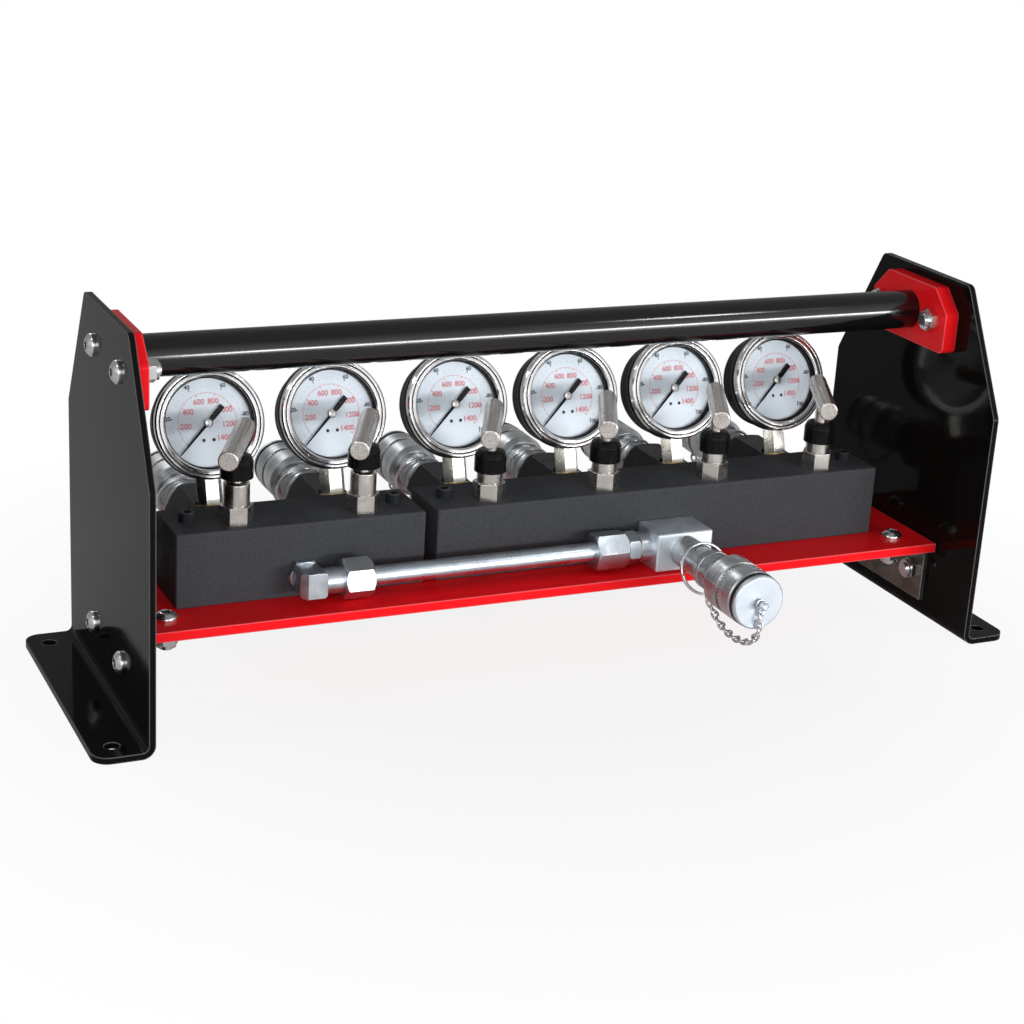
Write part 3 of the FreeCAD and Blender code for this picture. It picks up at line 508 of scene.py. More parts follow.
@dataclass(frozen=True)
class DialEnamel(Finish):
    """White dial with a faint cold cast that deepens in clouds."""

    cast_colour: Colour
    cast: Pair = (0.0, 0.6)
    cast_scale: float = 45.0
    roughness: Pair = (0.32, 0.42)
    rough_scale: float = 300.0
    pore_scale: float = 1600.0
    pore_strength: float = 0.1
    pore_depth: float = 0.01 * MM

    def shade(self, tree: Tree, shader: Node) -> None:
        """Clouds the white a little; see Finish.shade."""
        tree.feed(shader, {
            "Base Color": tree.blend(MOTTLE.clouds(tree, self.cast_scale, self.cast), self.colour, self.cast_colour),
            "Roughness": MOTTLE.clouds(tree, self.rough_scale, self.roughness),
            "Normal": tree.bump(tree.noise(self.pore_scale), self.pore_strength, self.pore_depth),
        })


@dataclass(frozen=True)
class PrintInk(Finish):
    """Thin printed ink, slightly uneven."""

    faded: Colour
    fade: Pair = (0.0, 0.6)
    fade_scale: float = 500.0
    roughness: Pair = (0.45, 0.6)
    rough_scale: float = 400.0
    specular: float = 0.04

    def shade(self, tree: Tree, shader: Node) -> None:
        """Fades the ink in patches; see Finish.shade."""
        tree.feed(shader, {
            "Base Color": tree.blend(MOTTLE.clouds(tree, self.fade_scale, self.fade), self.colour, self.faded),
            "Roughness": MOTTLE.clouds(tree, self.rough_scale, self.roughness),
            "Specular IOR Level": self.specular,
        })


@dataclass(frozen=True)
class ClearWindow(Finish):
    """Clear gauge window that lets light rays through to the dial."""

    haze: Pair = (0.0, 0.05)
    haze_scale: float = 60.0
    bending: float = 1.2
    passed_light: Colour = (0.97, 0.98, 0.99)

    def shade(self, tree: Tree, shader: Node) -> None:
        """Mixes glass with plain transparency for light rays; see Finish.shade."""
        tree.feed(shader, {
            "Base Color": self.colour,
            "Roughness": MOTTLE.clouds(tree, self.haze_scale, self.haze),
            "Transmission Weight": 1.0,
            "IOR": self.bending,
        })
        rays = tree.add("LightPath").outputs
        passing = tree.math("MAXIMUM", rays["Is Shadow Ray"], rays["Is Diffuse Ray"])
        clear = tree.add("BsdfTransparent", {"Color": self.passed_light})
        mixed = tree.add("MixShader", {0: passing, 1: shader.outputs[0], 2: clear.outputs[0]})
        tree.feed(tree.tree.nodes["Material Output"], {"Surface": mixed.outputs[0]})


# In the finishes below, a powder coat's second colour and every edge colour paint highlights on the rounded edges, and
# the crevice amounts paint shade into crevices.
PLATE_BLACK = PowderCoat("black_coat", (0.0052, 0.0046, 0.0040), (0.20, 0.20, 0.21), edge_radius=1.2 * MM,
                         roughness=(0.06, 0.1), dust=0.006, specular=0.08)
TUBE_BLACK = PowderCoat("tube_coat", (0.0045, 0.0045, 0.005), (0.08, 0.08, 0.085), roughness=(0.1, 0.15),
                        peel_height=0.008 * MM, coat=0.4, specular=0.5)
FRAME_RED = PowderCoat("red_coat", (0.90, 0.010, 0.015), (1.0, 0.16, 0.17), edge_radius=1.4 * MM, dust=0.002)
BLOCK_BLACK = SatinBlack("black_block", (0.041, 0.043, 0.048), (0.059, 0.062, 0.068), roughness=(0.55, 0.66),
                         edge_colour=(0.12, 0.12, 0.125), dust=0.008, specular=0.08)
OXIDE_BLACK = SatinBlack("black_oxide", (0.012, 0.013, 0.015), (0.024, 0.026, 0.030), run=Run.ROUND_Y,
                         roughness=(0.24, 0.34), edge_colour=(0.10, 0.105, 0.11))
CASE_BLACK = SatinBlack("gauge_case", (0.006, 0.006, 0.006), (0.011, 0.0105, 0.0105), roughness=(0.26, 0.36),
                        edge_colour=(0.06, 0.055, 0.05))
FITTING_ZINC = PlatedMetal("zinc_plate", (0.60, 0.65, 0.71), (0.42, 0.45, 0.48), Run.ROUND_X, (0.26, 0.38))
TEE_ZINC = PlatedMetal("tee_zinc", (0.84, 0.91, 0.97), (0.66, 0.73, 0.78), Run.ALONG_X, (0.42, 0.52), stain=0.2)
TUBE_ZINC = PlatedMetal("tube_zinc", (0.74, 0.82, 0.90), (0.60, 0.66, 0.74), Run.ALONG_X, (0.24, 0.34),
                        grain_height=0.008 * MM)
BRACKET_ZINC = PlatedMetal("bracket_zinc", (0.32, 0.31, 0.27), (0.12, 0.115, 0.095), roughness=(0.3, 0.44),
                           stain=0.6)
COUPLER_ZINC = PlatedMetal("coupler_zinc", (0.64, 0.67, 0.69), (0.26, 0.28, 0.29), Run.ROUND_Y, (0.28, 0.42),
                           stain=0.6, grain_scale=900.0)
COLLAR_ZINC = PlatedMetal("collar_zinc", (0.80, 0.83, 0.85), (0.34, 0.36, 0.37), Run.ROUND_Y, (0.26, 0.38),
                          stain=0.6, grain_scale=900.0)
CAP_ZINC = PlatedMetal("cap_zinc", (0.72, 0.78, 0.85), (0.62, 0.67, 0.73), roughness=(0.42, 0.5), stain=0.4)
CHAIN_STEEL = PlatedMetal("chain_steel", (0.84, 0.86, 0.88), (0.50, 0.51, 0.52), roughness=(0.2, 0.3),
                          edge_radius=0.15 * MM, grime=0.5)
BOLT_STEEL = PlatedMetal("bright_fastener", (0.84, 0.84, 0.85), (0.6, 0.6, 0.6), roughness=(0.14, 0.24),
                         edge_radius=0.3 * MM)
VALVE_NICKEL = PlatedMetal("bright_valve", (0.76, 0.72, 0.68), (0.55, 0.51, 0.47), Run.ROUND_Z, (0.18, 0.28))
BAR_STEEL = PlatedMetal("tee_bar_steel", (0.78, 0.735, 0.69), (0.38, 0.355, 0.33), Run.ALONG_Y, (0.24, 0.3),
                        stain=0.1, grain_height=0.002 * MM, grain_scale=800.0, speck_share=0.01, grime=0.3,
                        streak=0.65, turn=math.radians(26.0))
BEZEL_STEEL = PlatedMetal("polished_bezel", (0.88, 0.88, 0.89), (0.72, 0.72, 0.73), roughness=(0.07, 0.13),
                          grain_height=0.004 * MM, stain=0.2, speck_share=0.02)
SEAL_BRASS = PlatedMetal("brass_seal", (0.78, 0.58, 0.22), (0.55, 0.30, 0.12), roughness=(0.25, 0.4),
                         speck_share=0.3)
MOVEMENT_BRASS = PlatedMetal("movement_brass", (0.83, 0.82, 0.79), (0.6, 0.58, 0.5), roughness=(0.16, 0.28))
HUB_STEEL = PlatedMetal("hub_steel", (0.7, 0.7, 0.68), (0.4, 0.39, 0.36), edge_radius=0.2 * MM)
BOOT_RUBBER = GlossRubber("boot_rubber", (0.0035, 0.0035, 0.004), (0.08, 0.14))
# also the finish of the black ring of painted shade in the bezel's groove
GASKET_AND_SHADE_BLACK = GlossRubber("gauge_gasket", (0.004, 0.004, 0.004), (0.4, 0.5))
CAP_RUBBER = GlossRubber("cap_rubber", (0.022, 0.024, 0.026), (0.3, 0.45))
DIAL_WHITE = DialEnamel("dial_face", (0.80, 0.86, 0.92), (0.66, 0.72, 0.78))
POINTER_BLACK = PrintInk("pointer_black", (0.008, 0.008, 0.008), (0.02, 0.02, 0.02))
SCALE_BLACK = PrintInk("scale_black", (0.02, 0.022, 0.025), (0.10, 0.11, 0.12))
SCALE_RED = PrintInk("scale_red", (0.74, 0.20, 0.22), (0.80, 0.46, 0.48))
GROOVE_BROWN = PrintInk("groove_brown", (0.09, 0.05, 0.03), (0.16, 0.11, 0.08))
WINDOW = ClearWindow("gauge_glass", (0.98, 0.99, 1.0))


# Mesh building

@dataclass
class Shape:
    """Corners and faces of a mesh that is still being put together."""

    points: list[Vector] = field(default_factory=list)
    faces: list[tuple[int, ...]] = field(default_factory=list)

    def join(self, other: "Shape", matrix: Matrix = Matrix.Identity(4)) -> "Shape":
        """Adds another shape, moved by a matrix.

        Args:
            other: The shape to add.
            matrix: Where it goes.

        Returns:
            This shape.
        """
        start = len(self.points)
        self.points += [matrix @ point for point in other.points]
        self.faces += [tuple(index + start for index in face) for face in other.faces]
        return self

    def mesh(self, name: str) -> Mesh:
        """Makes a Blender mesh of the shape.

        Args:
            name: The mesh's name.

        Returns:
            The mesh.
        """
        made = bpy.data.meshes.new(name)
        made.from_pydata([tuple(point) for point in self.points], [], self.faces)
        made.update()
        return made


def swept_wire(path: Sequence[Vector], radius: float, sides: int, closed: bool) -> Shape:
    """Sweeps a round wire along a path.

    Args:
        path: Points that the wire's middle follows.
        radius: Half the wire's thickness.
        sides: Corners round the wire.
        closed: True if the path runs back to its start.

    Returns:
        The wire's shape.
    """
    count = len(path)
    shape = Shape()
    side = Vector()
    for index, point in enumerate(path):
        before = path[index - 1] if closed or index else path[0]
        after = path[(index + 1) % count] if closed or index < count - 1 else path[-1]
        along = (after - before).normalized()
        if not side.length:
            side = along.orthogonal().normalized()
        side = (side - along * side.dot(along)).normalized()
        other = along.cross(side)
        for corner in range(sides):
            turn = math.tau * corner / sides
            shape.points.append(point + (side * math.cos(turn) + other * math.sin(turn)) * radius)
    for ring in range(count if closed else count - 1):
        low, high = ring * sides, (ring + 1) % count * sides
        for corner in range(sides):
            step = (corner + 1) % sides
            shape.faces.append((low + corner, low + step, high + step, high + corner))
    if not closed:
        shape.faces.append(tuple(reversed(range(sides))))
        shape.faces.append(tuple(range((count - 1) * sides, count * sides)))
    return shape


def lathed(profile: Sequence[Pair], segments: int, closed: bool = True) -> Shape:
    """Turns a profile of (radius, distance along Y) points round the Y axis.

    Args:
        profile: Corners of the section.
        segments: Steps round the axis.
        closed: True if the section's last corner joins its first one.

    Returns:
        The turned shape.
    """
    shape = Shape()
    count = len(profile)
    for step in range(segments):
        turn = math.tau * step / segments
        for radius, along in profile:
            shape.points.append(Vector((radius * math.cos(turn), along, radius * math.sin(turn))))
    for step in range(segments):
        low, high = step * count, (step + 1) % segments * count
        for corner in range(count if closed else count - 1):
            after = (corner + 1) % count
            shape.faces.append((low + corner, low + after, high + after, high + corner))
    return shape


def ring_section(radii: Pair, depths: Pair) -> list[Pair]:
    """Corners of a plain ring's section between two radii and two depths."""
    (inner, outer), (front, back) = radii, depths
    return [(inner, front), (outer, front), (outer, back), (inner, back)]


def placed(name: str, data: Any) -> bpy.types.Object:
    """Makes an object and links it into the scene.

    Args:
        name: The object's name.
        data: Its mesh, lamp, camera or curve.

    Returns:
        The new object.
    """
    made = bpy.data.objects.new(name, data)
    bpy.context.scene.collection.objects.link(made)
    return made


def printed_text(words: str, size: float, steps: int = 4, weight: float = 0.03) -> Shape:
    """Makes flat printed characters in the X-Z plane, centred, facing -Y.

    Args:
        words: What is printed.
        size: Height of the characters.
        steps: Straight pieces in each curve of a character.
        weight: How much the strokes are thickened, as a share of the size.

    Returns:
        The characters' shape.
    """
    curve = bpy.data.curves.new("words", "FONT")
    curve.body = words
    curve.size = size
    curve.align_x = "CENTER"
    curve.align_y = "CENTER"
    curve.resolution_u = steps
    curve.offset = size * weight
    holder = placed("words", curve)
    mesh = bpy.data.meshes.new_from_object(holder.evaluated_get(bpy.context.evaluated_depsgraph_get()))
    shape = Shape([Vector((v.co.x, 0.0, v.co.y)) for v in mesh.vertices],
                  [tuple(face.vertices) for face in mesh.polygons])
    bpy.data.objects.remove(holder)
    bpy.data.meshes.remove(mesh)
    bpy.data.curves.remove(curve)
    return shape


def new_object(name: str, mesh: Mesh, finish: Finish, smooth: bool = True) -> bpy.types.Object:
    """Makes a finished object.

    Args:
        name: The object's name.
        mesh: Its mesh, which several objects may share.
        finish: Its finish.
        smooth: True for smooth shading.

    Returns:
        The new object.
    """
    made = placed(name, mesh)
    if not mesh.materials:
        mesh.materials.append(finish.material())
        mesh.polygons.foreach_set("use_smooth", [smooth] * len(mesh.polygons))
    return made


def add_piece(name: str, mesh: Mesh, finish: Finish, body: str, matrix: Matrix = Matrix.Identity(4),
              smooth: bool = True) -> None:
    """Puts a new piece into the scene on its body.

    Args:
        name: The piece's name.
        mesh: Its mesh, which several pieces may share.
        finish: Its finish.
        body: The CAD body that it rides on.
        matrix: Its place.
        smooth: True for smooth shading.
    """
    piece = new_object(name, mesh, finish, smooth)
    piece.matrix_world = matrix
    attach(piece, body)


def add_hanging_piece(name: str, mesh: Mesh, finish: Finish) -> bpy.types.Object:
    """Puts in a piece whose mesh is already in the part's frame, on no body.

    Args:
        name: The piece's name.
        mesh: Its mesh, in the part's frame.
        finish: Its finish.

    Returns:
        The new object.
    """
    piece = new_object(name, mesh, finish)
    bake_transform(piece)
    return piece


def dress(finishes: dict[Finish, Sequence[str]]) -> None:
    """Gives CAD nodes their finishes.

    Args:
        finishes: The names of the nodes that get each finish.
    """
    for finish, names in finishes.items():
        for name in names:
            node = frame["nodes"][name]
            if not node.material_slots:
                node.data.materials.append(finish.material())
            for place in node.material_slots:
                place.material = finish.material()


def joint(name: str) -> dict[str, Any]:
    """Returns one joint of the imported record."""
    return next(found for found in frame["joints"] if found["name"] == name)


def numbered(title: str, count: int) -> list[str]:
    """Names that differ only in their number, which takes the place of a star."""
    return [title.replace("*", str(number)) for number in range(1, count + 1)]


# The object's sub-assemblies

@dataclass
class CarryingFrame:
    """End plates, handle, base plate, brackets and their fasteners."""

    plate_face: float = 279.0 * MM          # outer face of an end plate from the middle
    plate_bolts: tuple[Pair, ...] = ((32.0 * MM, 34.0 * MM), (29.0 * MM, 208.0 * MM))
    base_screw: tuple[float, float, float] = (252.0 * MM, 30.0 * MM, 57.5 * MM)
    crown: tuple[Pair, ...] = ((6.9, 1.2), (7.0, 1.42), (6.8, 1.9), (6.3, 2.45), (5.5, 3.15),
                               (4.6, 3.84), (3.8, 4.34), (3.3, 4.45), (3.05, 4.42), (3.1, 4.3))   # in mm
    crown_segments: int = 40

    def dress(self) -> None:
        """Gives the frame's CAD nodes their finishes."""
        dress({
            PLATE_BLACK: ["left_end_plate", "right_end_plate"],
            TUBE_BLACK: ["handle_tube"],
            FRAME_RED: ["handle_brackets", "base_plate"],
            BRACKET_ZINC: ["angle_brackets"],
            BOLT_STEEL: ["frame_bolts", "frame_nuts"],
        })

    def round_heads(self) -> None:
        """Rounds the button heads, whose crown is a cone in the CAD model."""
        crown = lathed([(radius * MM, out * MM) for radius, out in self.crown], self.crown_segments)
        heads = Shape()
        for side in (-1, 1):
            outward = Matrix.Rotation(-side * math.pi / 2, 4, "Z")
            for across, height in self.plate_bolts:
                for row in (-1, 1):
                    heads.join(crown, Matrix.Translation((side * self.plate_face, row * across, height)) @ outward)
            along, across, height = self.base_screw
            upward = Matrix.Rotation(math.pi / 2, 4, "X")
            for row in (-1, 1):
                heads.join(crown, Matrix.Translation((side * along, row * across, height)) @ upward)
        add_piece("bolt_crowns", heads.mesh("bolt_crowns"), BOLT_STEEL, ROOT)


@dataclass
class DrilledBlocks:
    """The two manifold blocks with their screws and plugs."""

    def dress(self) -> None:
        """Gives the blocks and their small parts their finishes."""
        dress({
            BLOCK_BLACK: ["two_port_block", "four_port_block"],
            OXIDE_BLACK: ["block_screws", "gallery_plugs"],
        })


@dataclass
class NeedleValves:
    """Bonnets, boots and T-handles of the six valves."""

    count: int = 6

    def dress(self) -> None:
        """Gives each valve's pieces their finishes."""
        dress({
            VALVE_NICKEL: ["valve_bonnets"],
            BOOT_RUBBER: numbered("valve_boot_*", self.count),
            BAR_STEEL: numbered("valve_handle_*", self.count),
        })


@dataclass(frozen=True)
class DialScale:
    """One printed scale of a dial."""

    title: str
    ink: PrintInk
    radius: float
    steps: int                              # numbered steps over the sweep
    minor: int                              # small steps in each numbered one
    unit: int                               # what a numbered step stands for
    reach: float                            # length of a long tick, outward if above zero
    number_radius: float
    number_size: float
    lined: bool                             # True if a line joins the ticks


@dataclass
class PressureGauges:
    """The six gauges, their adapters and what is printed on their dials."""

    count: int = 6
    dial_behind_hub: float = 1.02 * MM      # printed face behind the pointer joint's place
    start_angle: float = 225.0              # degrees clockwise from straight up, at zero
    sweep: float = 270.0
    scales: tuple[DialScale, ...] = (
        DialScale("black", SCALE_BLACK, 22.0 * MM, 5, 5, 20, 1.3 * MM, 25.0 * MM, 3.6 * MM, False),
        DialScale("red", SCALE_RED, 18.6 * MM, 7, 4, 200, -1.6 * MM, 13.8 * MM, 4.7 * MM, True),
    )
    line: float = 0.24 * MM
    line_steps: int = 72
    long_width: float = 2.2                 # of a long tick, in lines
    short_width: float = 0.9
    short_reach: float = 0.45               # of a short tick, as a share of a long one
    gasket: Pair = (27.3 * MM, 28.9 * MM)
    gasket_depth: Pair = (-1.8 * MM, 0.95 * MM)         # from the pointer joint's place
    gasket_segments: int = 72
    # a black ring in the bezel's groove, painted shade
    groove: Pair = (31.05 * MM, 32.3 * MM)
    groove_depth: Pair = (-5.6 * MM, -5.0 * MM)
    lip: Pair = (34.2 * MM, 34.75 * MM)
    lip_depth: Pair = (-1.0 * MM, 3.6 * MM)
    lip_bend: float = 0.2 * MM
    case_segments: int = 96
    hub_front: float = -1.45 * MM
    hub: tuple[Pair, ...] = ((0.0, -0.5), (1.17, -0.45), (2.08, -0.2), (2.6, 0.15), (2.6, 0.8))     # in mm
    hub_segments: int = 24
    screw_spread: float = 3.2 * MM
    screw_below: float = 10.5 * MM
    screw_radius: float = 1.1 * MM
    screw_sides: int = 16

    def dress(self) -> None:
        """Gives the gauges' CAD nodes their finishes."""
        dress({
            OXIDE_BLACK: ["gauge_adapters"],
            SEAL_BRASS: ["gauge_seals"],
            CASE_BLACK: ["gauge_cases"],
            BEZEL_STEEL: ["gauge_bezels"],
            WINDOW: ["gauge_windows"],
            DIAL_WHITE: ["gauge_dials"],
            MOVEMENT_BRASS: ["gauge_movements"],
            POINTER_BLACK: numbered("gauge_pointer_*", self.count),
        })

    def direction(self, share: float) -> Vector:
        """Direction on the dial at a share of the scale."""
        turn = math.radians(self.start_angle + self.sweep * share)
        return Vector((math.sin(turn), 0.0, math.cos(turn)))

    def arc(self, radius: float) -> Shape:
        """Prints a line over the whole scale.

        Args:
            radius: Radius of the line's middle.

        Returns:
            The line's shape.
        """
        shape = Shape()
        for step in range(self.line_steps + 1):
            out = self.direction(step / self.line_steps)
            shape.points += [out * (radius - self.line / 2), out * (radius + self.line / 2)]
        for low in range(0, 2 * self.line_steps, 2):
            shape.faces.append((low, low + 1, low + 3, low + 2))
        return shape

    def tick(self, share: float, near: float, far: float, width: float) -> Shape:
        """Prints a tick across the scale.

        Args:
            share: Its place as a share of the scale.
            near: Radius of its one end.
            far: Radius of its other end.
            width: Its width.

        Returns:
            The tick's shape.
        """
        out = self.direction(share)
        side = out.cross(AXIS_Y) * (width / 2)
        return Shape([out * near - side, out * near + side, out * far + side, out * far - side], [(0, 1, 2, 3)])

    def scale(self, printed: DialScale) -> Shape:
        """Prints one scale with its ticks and numbers.

        Args:
            printed: What the scale holds.

        Returns:
            The scale's shape in the dial's plane.
        """
        shape = self.arc(printed.radius) if printed.lined else Shape()
        ticks = printed.steps * printed.minor
        for step in range(ticks + 1):
            length, width = printed.reach * self.short_reach, self.line * self.short_width
            if step % printed.minor == 0:
                length, width = printed.reach, self.line * self.long_width
            shape.join(self.tick(step / ticks, printed.radius, printed.radius + length, width))
        for step in range(1, printed.steps + 1):
            place = Matrix.Translation(self.direction(step / printed.steps) * printed.number_radius)
            shape.join(printed_text(str(step * printed.unit), printed.number_size), place)
        return shape

    def screws(self) -> Shape:
        """Makes the two dark screws below the hub.

        Returns:
            The screws' shape in the dial's plane.
        """
        shape = Shape()
        for side in (-1, 1):
            middle = Vector((side * self.screw_spread, 0.0, -self.screw_below))
            ring = [middle + Vector((math.cos(turn), 0.0, math.sin(turn))) * self.screw_radius
                    for turn in np.linspace(0, math.tau, self.screw_sides, endpoint=False)]
            shape.join(Shape(ring, [tuple(range(self.screw_sides))]))
        return shape

    def prints(self) -> list[tuple[str, Mesh, Finish]]:
        """Builds once what is printed on every dial.

        Returns:
            Each print's name, mesh and ink.
        """
        shapes = [self.scale(printed) for printed in self.scales]
        shapes[0].join(self.screws())
        titles = [("scale_" + printed.title, printed.ink) for printed in self.scales]
        return [(title, shape.mesh(title), ink) for (title, ink), shape in zip(titles, shapes)]

    def rings(self) -> list[tuple[str, Mesh, Finish]]:
        """Builds once the rings that every gauge's bezel and case hold, one of them a black ring of painted shade in
        the bezel's groove.

        Returns:
            Each ring's name, mesh and finish.
        """
        (inner, outer), (front, back), bend = self.lip, self.lip_depth, self.lip_bend
        lip = [(inner, front), (outer - bend, front), (outer, front + bend), (outer, back - bend),
               (outer - 2 * bend, back), (inner, back)]
        rings = [
            ("gauge_gasket", ring_section(self.gasket, self.gasket_depth), self.gasket_segments, GASKET_AND_SHADE_BLACK),
            # painted shade in the bezel's groove
            ("bezel_groove_line", ring_section(self.groove, self.groove_depth), self.case_segments, GASKET_AND_SHADE_BLACK),
            ("gauge_case_lip", lip, self.case_segments, CASE_BLACK),
        ]
        return [(title.split("_", 1)[1], lathed(section, segments).mesh(title), finish)
                for title, section, segments, finish in rings]

    def detail(self) -> None:
        """Lays the prints on each dial and puts the rings and hub caps in."""
        prints, rings = self.prints(), self.rings()
        hub = [(radius * MM, self.hub_front + out * MM) for radius, out in self.hub]
        cap = lathed(hub, self.hub_segments, closed=False).mesh("pointer_hub_cap")
        for number in range(1, self.count + 1):
            found = joint(f"gauge_{number}_reading")
            depth = Vector(found["axis"]).normalized()
            turn = Matrix((AXIS_X, depth, AXIS_X.cross(depth))).transposed().to_4x4()
            place = Matrix.Translation(Vector(found["pos_m"])) @ turn
            dial = Matrix.Translation(Vector(found["pos_m"]) + depth * self.dial_behind_hub) @ turn
            for title, mesh, ink in prints:
                add_piece(f"gauge_{number}_{title}", mesh, ink, ROOT, dial, smooth=False)
            for title, mesh, finish in rings:
                add_piece(f"gauge_{number}_{title}", mesh, finish, ROOT, place)
            add_piece(f"gauge_{number}_hub_cap", cap, HUB_STEEL, f"gauge_{number}_pointer", place)


@dataclass
class CouplerPlace:
    """Where one quick coupler is and how its cap chain hangs, in metres."""

    name: str
    start: Vector
    way: float
    carrier_radius: float                   # of the round part that the chain's ring hangs on
    ring_out: float
    sag: tuple[Pair, ...]                   # the chain's points: distance out, height over the coupler's axis

    def matrix(self) -> Matrix:
        """Place of the coupler's own frame, whose +Y points out of it."""
        turn = Matrix.Identity(4) if self.way > 0 else Matrix.Rotation(math.pi, 4, "Z")
        return Matrix.Translation(self.start) @ turn


@dataclass
class QuickCouplers:
    """The six rear couplers and the inlet coupler, with collars, caps and chains."""

    outlets: int = 6
    segments: int = 64
    barrel_radius: float = 12.5 * MM
    band_starts: tuple[float, ...] = (2.0 * MM, 12.5 * MM)
    band_width: float = 4.6 * MM
    band_rise: float = 0.3 * MM
    band_sunk: float = 0.2 * MM
    band_edge: float = 0.3 * MM
    dot_rows: tuple[float, ...] = (38.6 * MM, 40.4 * MM)
    dots_round: int = 44
    dot: tuple[Pair, ...] = ((0.0, 0.33), (0.33, 0.2475), (0.55, 0.0))      # in mm
    dot_sides: int = 8
    groove_radius: float = 16.7 * MM
    ring_radius: float = 16.0 * MM
    ring_wire: float = 0.85 * MM
    ring_half: float = 1.0 * MM             # half the wire of the CAD model's ring, which hangs the same
    ring_steps: int = 56
    ring_sides: int = 8
    ring_tilt: float = 22.0
    ring_play: float = 0.2 * MM
    link_length: float = 7.4 * MM
    link_width: float = 5.2 * MM
    link_wire: float = 0.78 * MM
    link_sides: int = 6
    link_points: int = 20
    link_round: Pair = (0.8, 0.7)           # powers that square the oval off along and across
    link_step: float = 4.8 * MM
    link_twist: float = 62.0
    link_turn: float = 42.0                 # degrees to one side and the other, link by link
    first_link: float = 1.6 * MM            # from the ring's lowest point to the first link's middle
    eye_play: float = 0.25 * MM
    eye_points: int = 24
    eye_stretch: float = 1.25
    eye_drop: float = 0.4 * MM
    links_end: Pair = (0.4 * MM, 1.2 * MM)  # last link's middle past the eye's plane and below its reach from the axis
    route_steps: int = 8
    stud_out: float = 62.7 * MM
    stud_radius: float = 1.5 * MM
    rear_ring_out: float = 14.0 * MM
    rear_sag: tuple[Pair, ...] = ((0.031, -0.028), (0.043, -0.032), (0.055, -0.0285), (0.0625, -0.019))
    inlet_neck_radius: float = 10.5 * MM
    inlet_ring_out: float = -6.0 * MM
    inlet_sag: tuple[Pair, ...] = ((0.015, -0.0285), (0.030, -0.032), (0.045, -0.031), (0.057, -0.026),
                                   (0.063, -0.016))
    collar_joint_out: float = 37.0 * MM
    cap_radius: float = 17.0 * MM
    cap_band: Pair = (54.6 * MM, 57.6 * MM)
    cap_band_sunk: float = 0.3 * MM
    cap_band_rise: float = 0.25 * MM
    cap_band_edge: float = 0.2 * MM
    slack_start: float = 11.0 * MM          # the chain gives from here past its ring
    slack_end: float = 58.0 * MM            # up to here

    def places(self) -> list[CouplerPlace]:
        """Finds each coupler from its collar's joint in the record.

        Returns:
            The outlets' places and then the inlet's.
        """
        rear = (self.barrel_radius, self.rear_ring_out, self.rear_sag)
        front = (self.inlet_neck_radius, self.inlet_ring_out, self.inlet_sag)
        found = []
        for name in [*numbered("outlet_*", self.outlets), "inlet"]:
            turning = joint(name + "_collar_turn")
            way = turning["axis"][1]
            start = Vector(turning["pos_m"]) - AXIS_Y * (way * self.collar_joint_out)
            found.append(CouplerPlace(name, start, way, *(front if name == "inlet" else rear)))
        return found

    def dress(self) -> None:
        """Gives bodies, poppets, collars and caps their finishes."""
        names = [place.name for place in self.places()]
        dress({
            COUPLER_ZINC: ["coupler_bodies"],
            FITTING_ZINC: ["coupler_poppets"],
            COLLAR_ZINC: [name + "_collar" for name in names],
            CAP_ZINC: [name + "_cap" for name in names],
        })

    def bands(self) -> Shape:
        """Makes the shallow raised bands on the barrel.

        Returns:
            The bands' shape.
        """
        shape = Shape()
        inner, outer, edge = self.barrel_radius - self.band_sunk, self.barrel_radius + self.band_rise, self.band_edge
        for low in self.band_starts:
            high = low + self.band_width
            profile = [(inner, low), (outer - edge / 2, low), (outer, low + edge), (outer, high - edge),
                       (outer - edge / 2, high), (inner, high)]
            shape.join(lathed(profile, self.segments))
        return shape

    def dots(self) -> Shape:
        """Makes two rows of small studs in the collar's groove.

        Returns:
            The studs' shape.
        """
        shape = Shape()
        dome = lathed([(radius * MM, out * MM) for radius, out in self.dot], self.dot_sides, closed=False)
        for row, out in enumerate(self.dot_rows):
            for index in range(self.dots_round):
                turn = math.tau * (index + row / 2) / self.dots_round
                radial = Vector((math.cos(turn), 0.0, math.sin(turn)))
                facing = AXIS_Y.rotation_difference(radial).to_matrix().to_4x4()
                shape.join(dome, Matrix.Translation(radial * self.groove_radius + AXIS_Y * out) @ facing)
        return shape

    def sealing_band(self) -> Shape:
        """Makes the black sealing band round the cap, behind its rim.

        Returns:
            The band's shape.
        """
        (low, high), inner = self.cap_band, self.cap_radius - self.cap_band_sunk
        outer, edge = self.cap_radius + self.cap_band_rise, self.cap_band_edge
        return lathed([(inner, low), (outer - edge, low), (outer, low + edge), (outer, high - edge),
                       (outer - edge, high), (inner, high)], self.segments)

    def split_ring(self) -> Shape:
        """Makes the key ring of two turns, lying in its own X-Z plane.

        Returns:
            The ring's shape.
        """
        path = []
        for step in range(2 * self.ring_steps):
            turn = math.tau * step / self.ring_steps
            shift = self.ring_wire * (2.0 * step / (2 * self.ring_steps - 1) - 1.0)
            path.append(Vector((math.cos(turn) * self.ring_radius, shift, math.sin(turn) * self.ring_radius)))
        return swept_wire(path, self.ring_wire, self.ring_sides, closed=False)

    def curb_link(self) -> Shape:
        """Makes one wire link along X, twisted about its length.

        Returns:
            The link's shape.
        """
        path = []
        half_long, half_wide = self.link_length / 2 - self.link_wire, self.link_width / 2 - self.link_wire
        for step in range(self.link_points):
            turn = math.tau * step / self.link_points
            along = half_long * math.copysign(abs(math.cos(turn)) ** self.link_round[0], math.cos(turn))
            across = half_wide * math.copysign(abs(math.sin(turn)) ** self.link_round[1], math.sin(turn))
            angle = math.radians(self.link_twist) * along / (2 * half_long)
            path.append(Vector((along, across * math.cos(angle), across * math.sin(angle))))
        return swept_wire(path, self.link_wire, self.link_sides, closed=True)

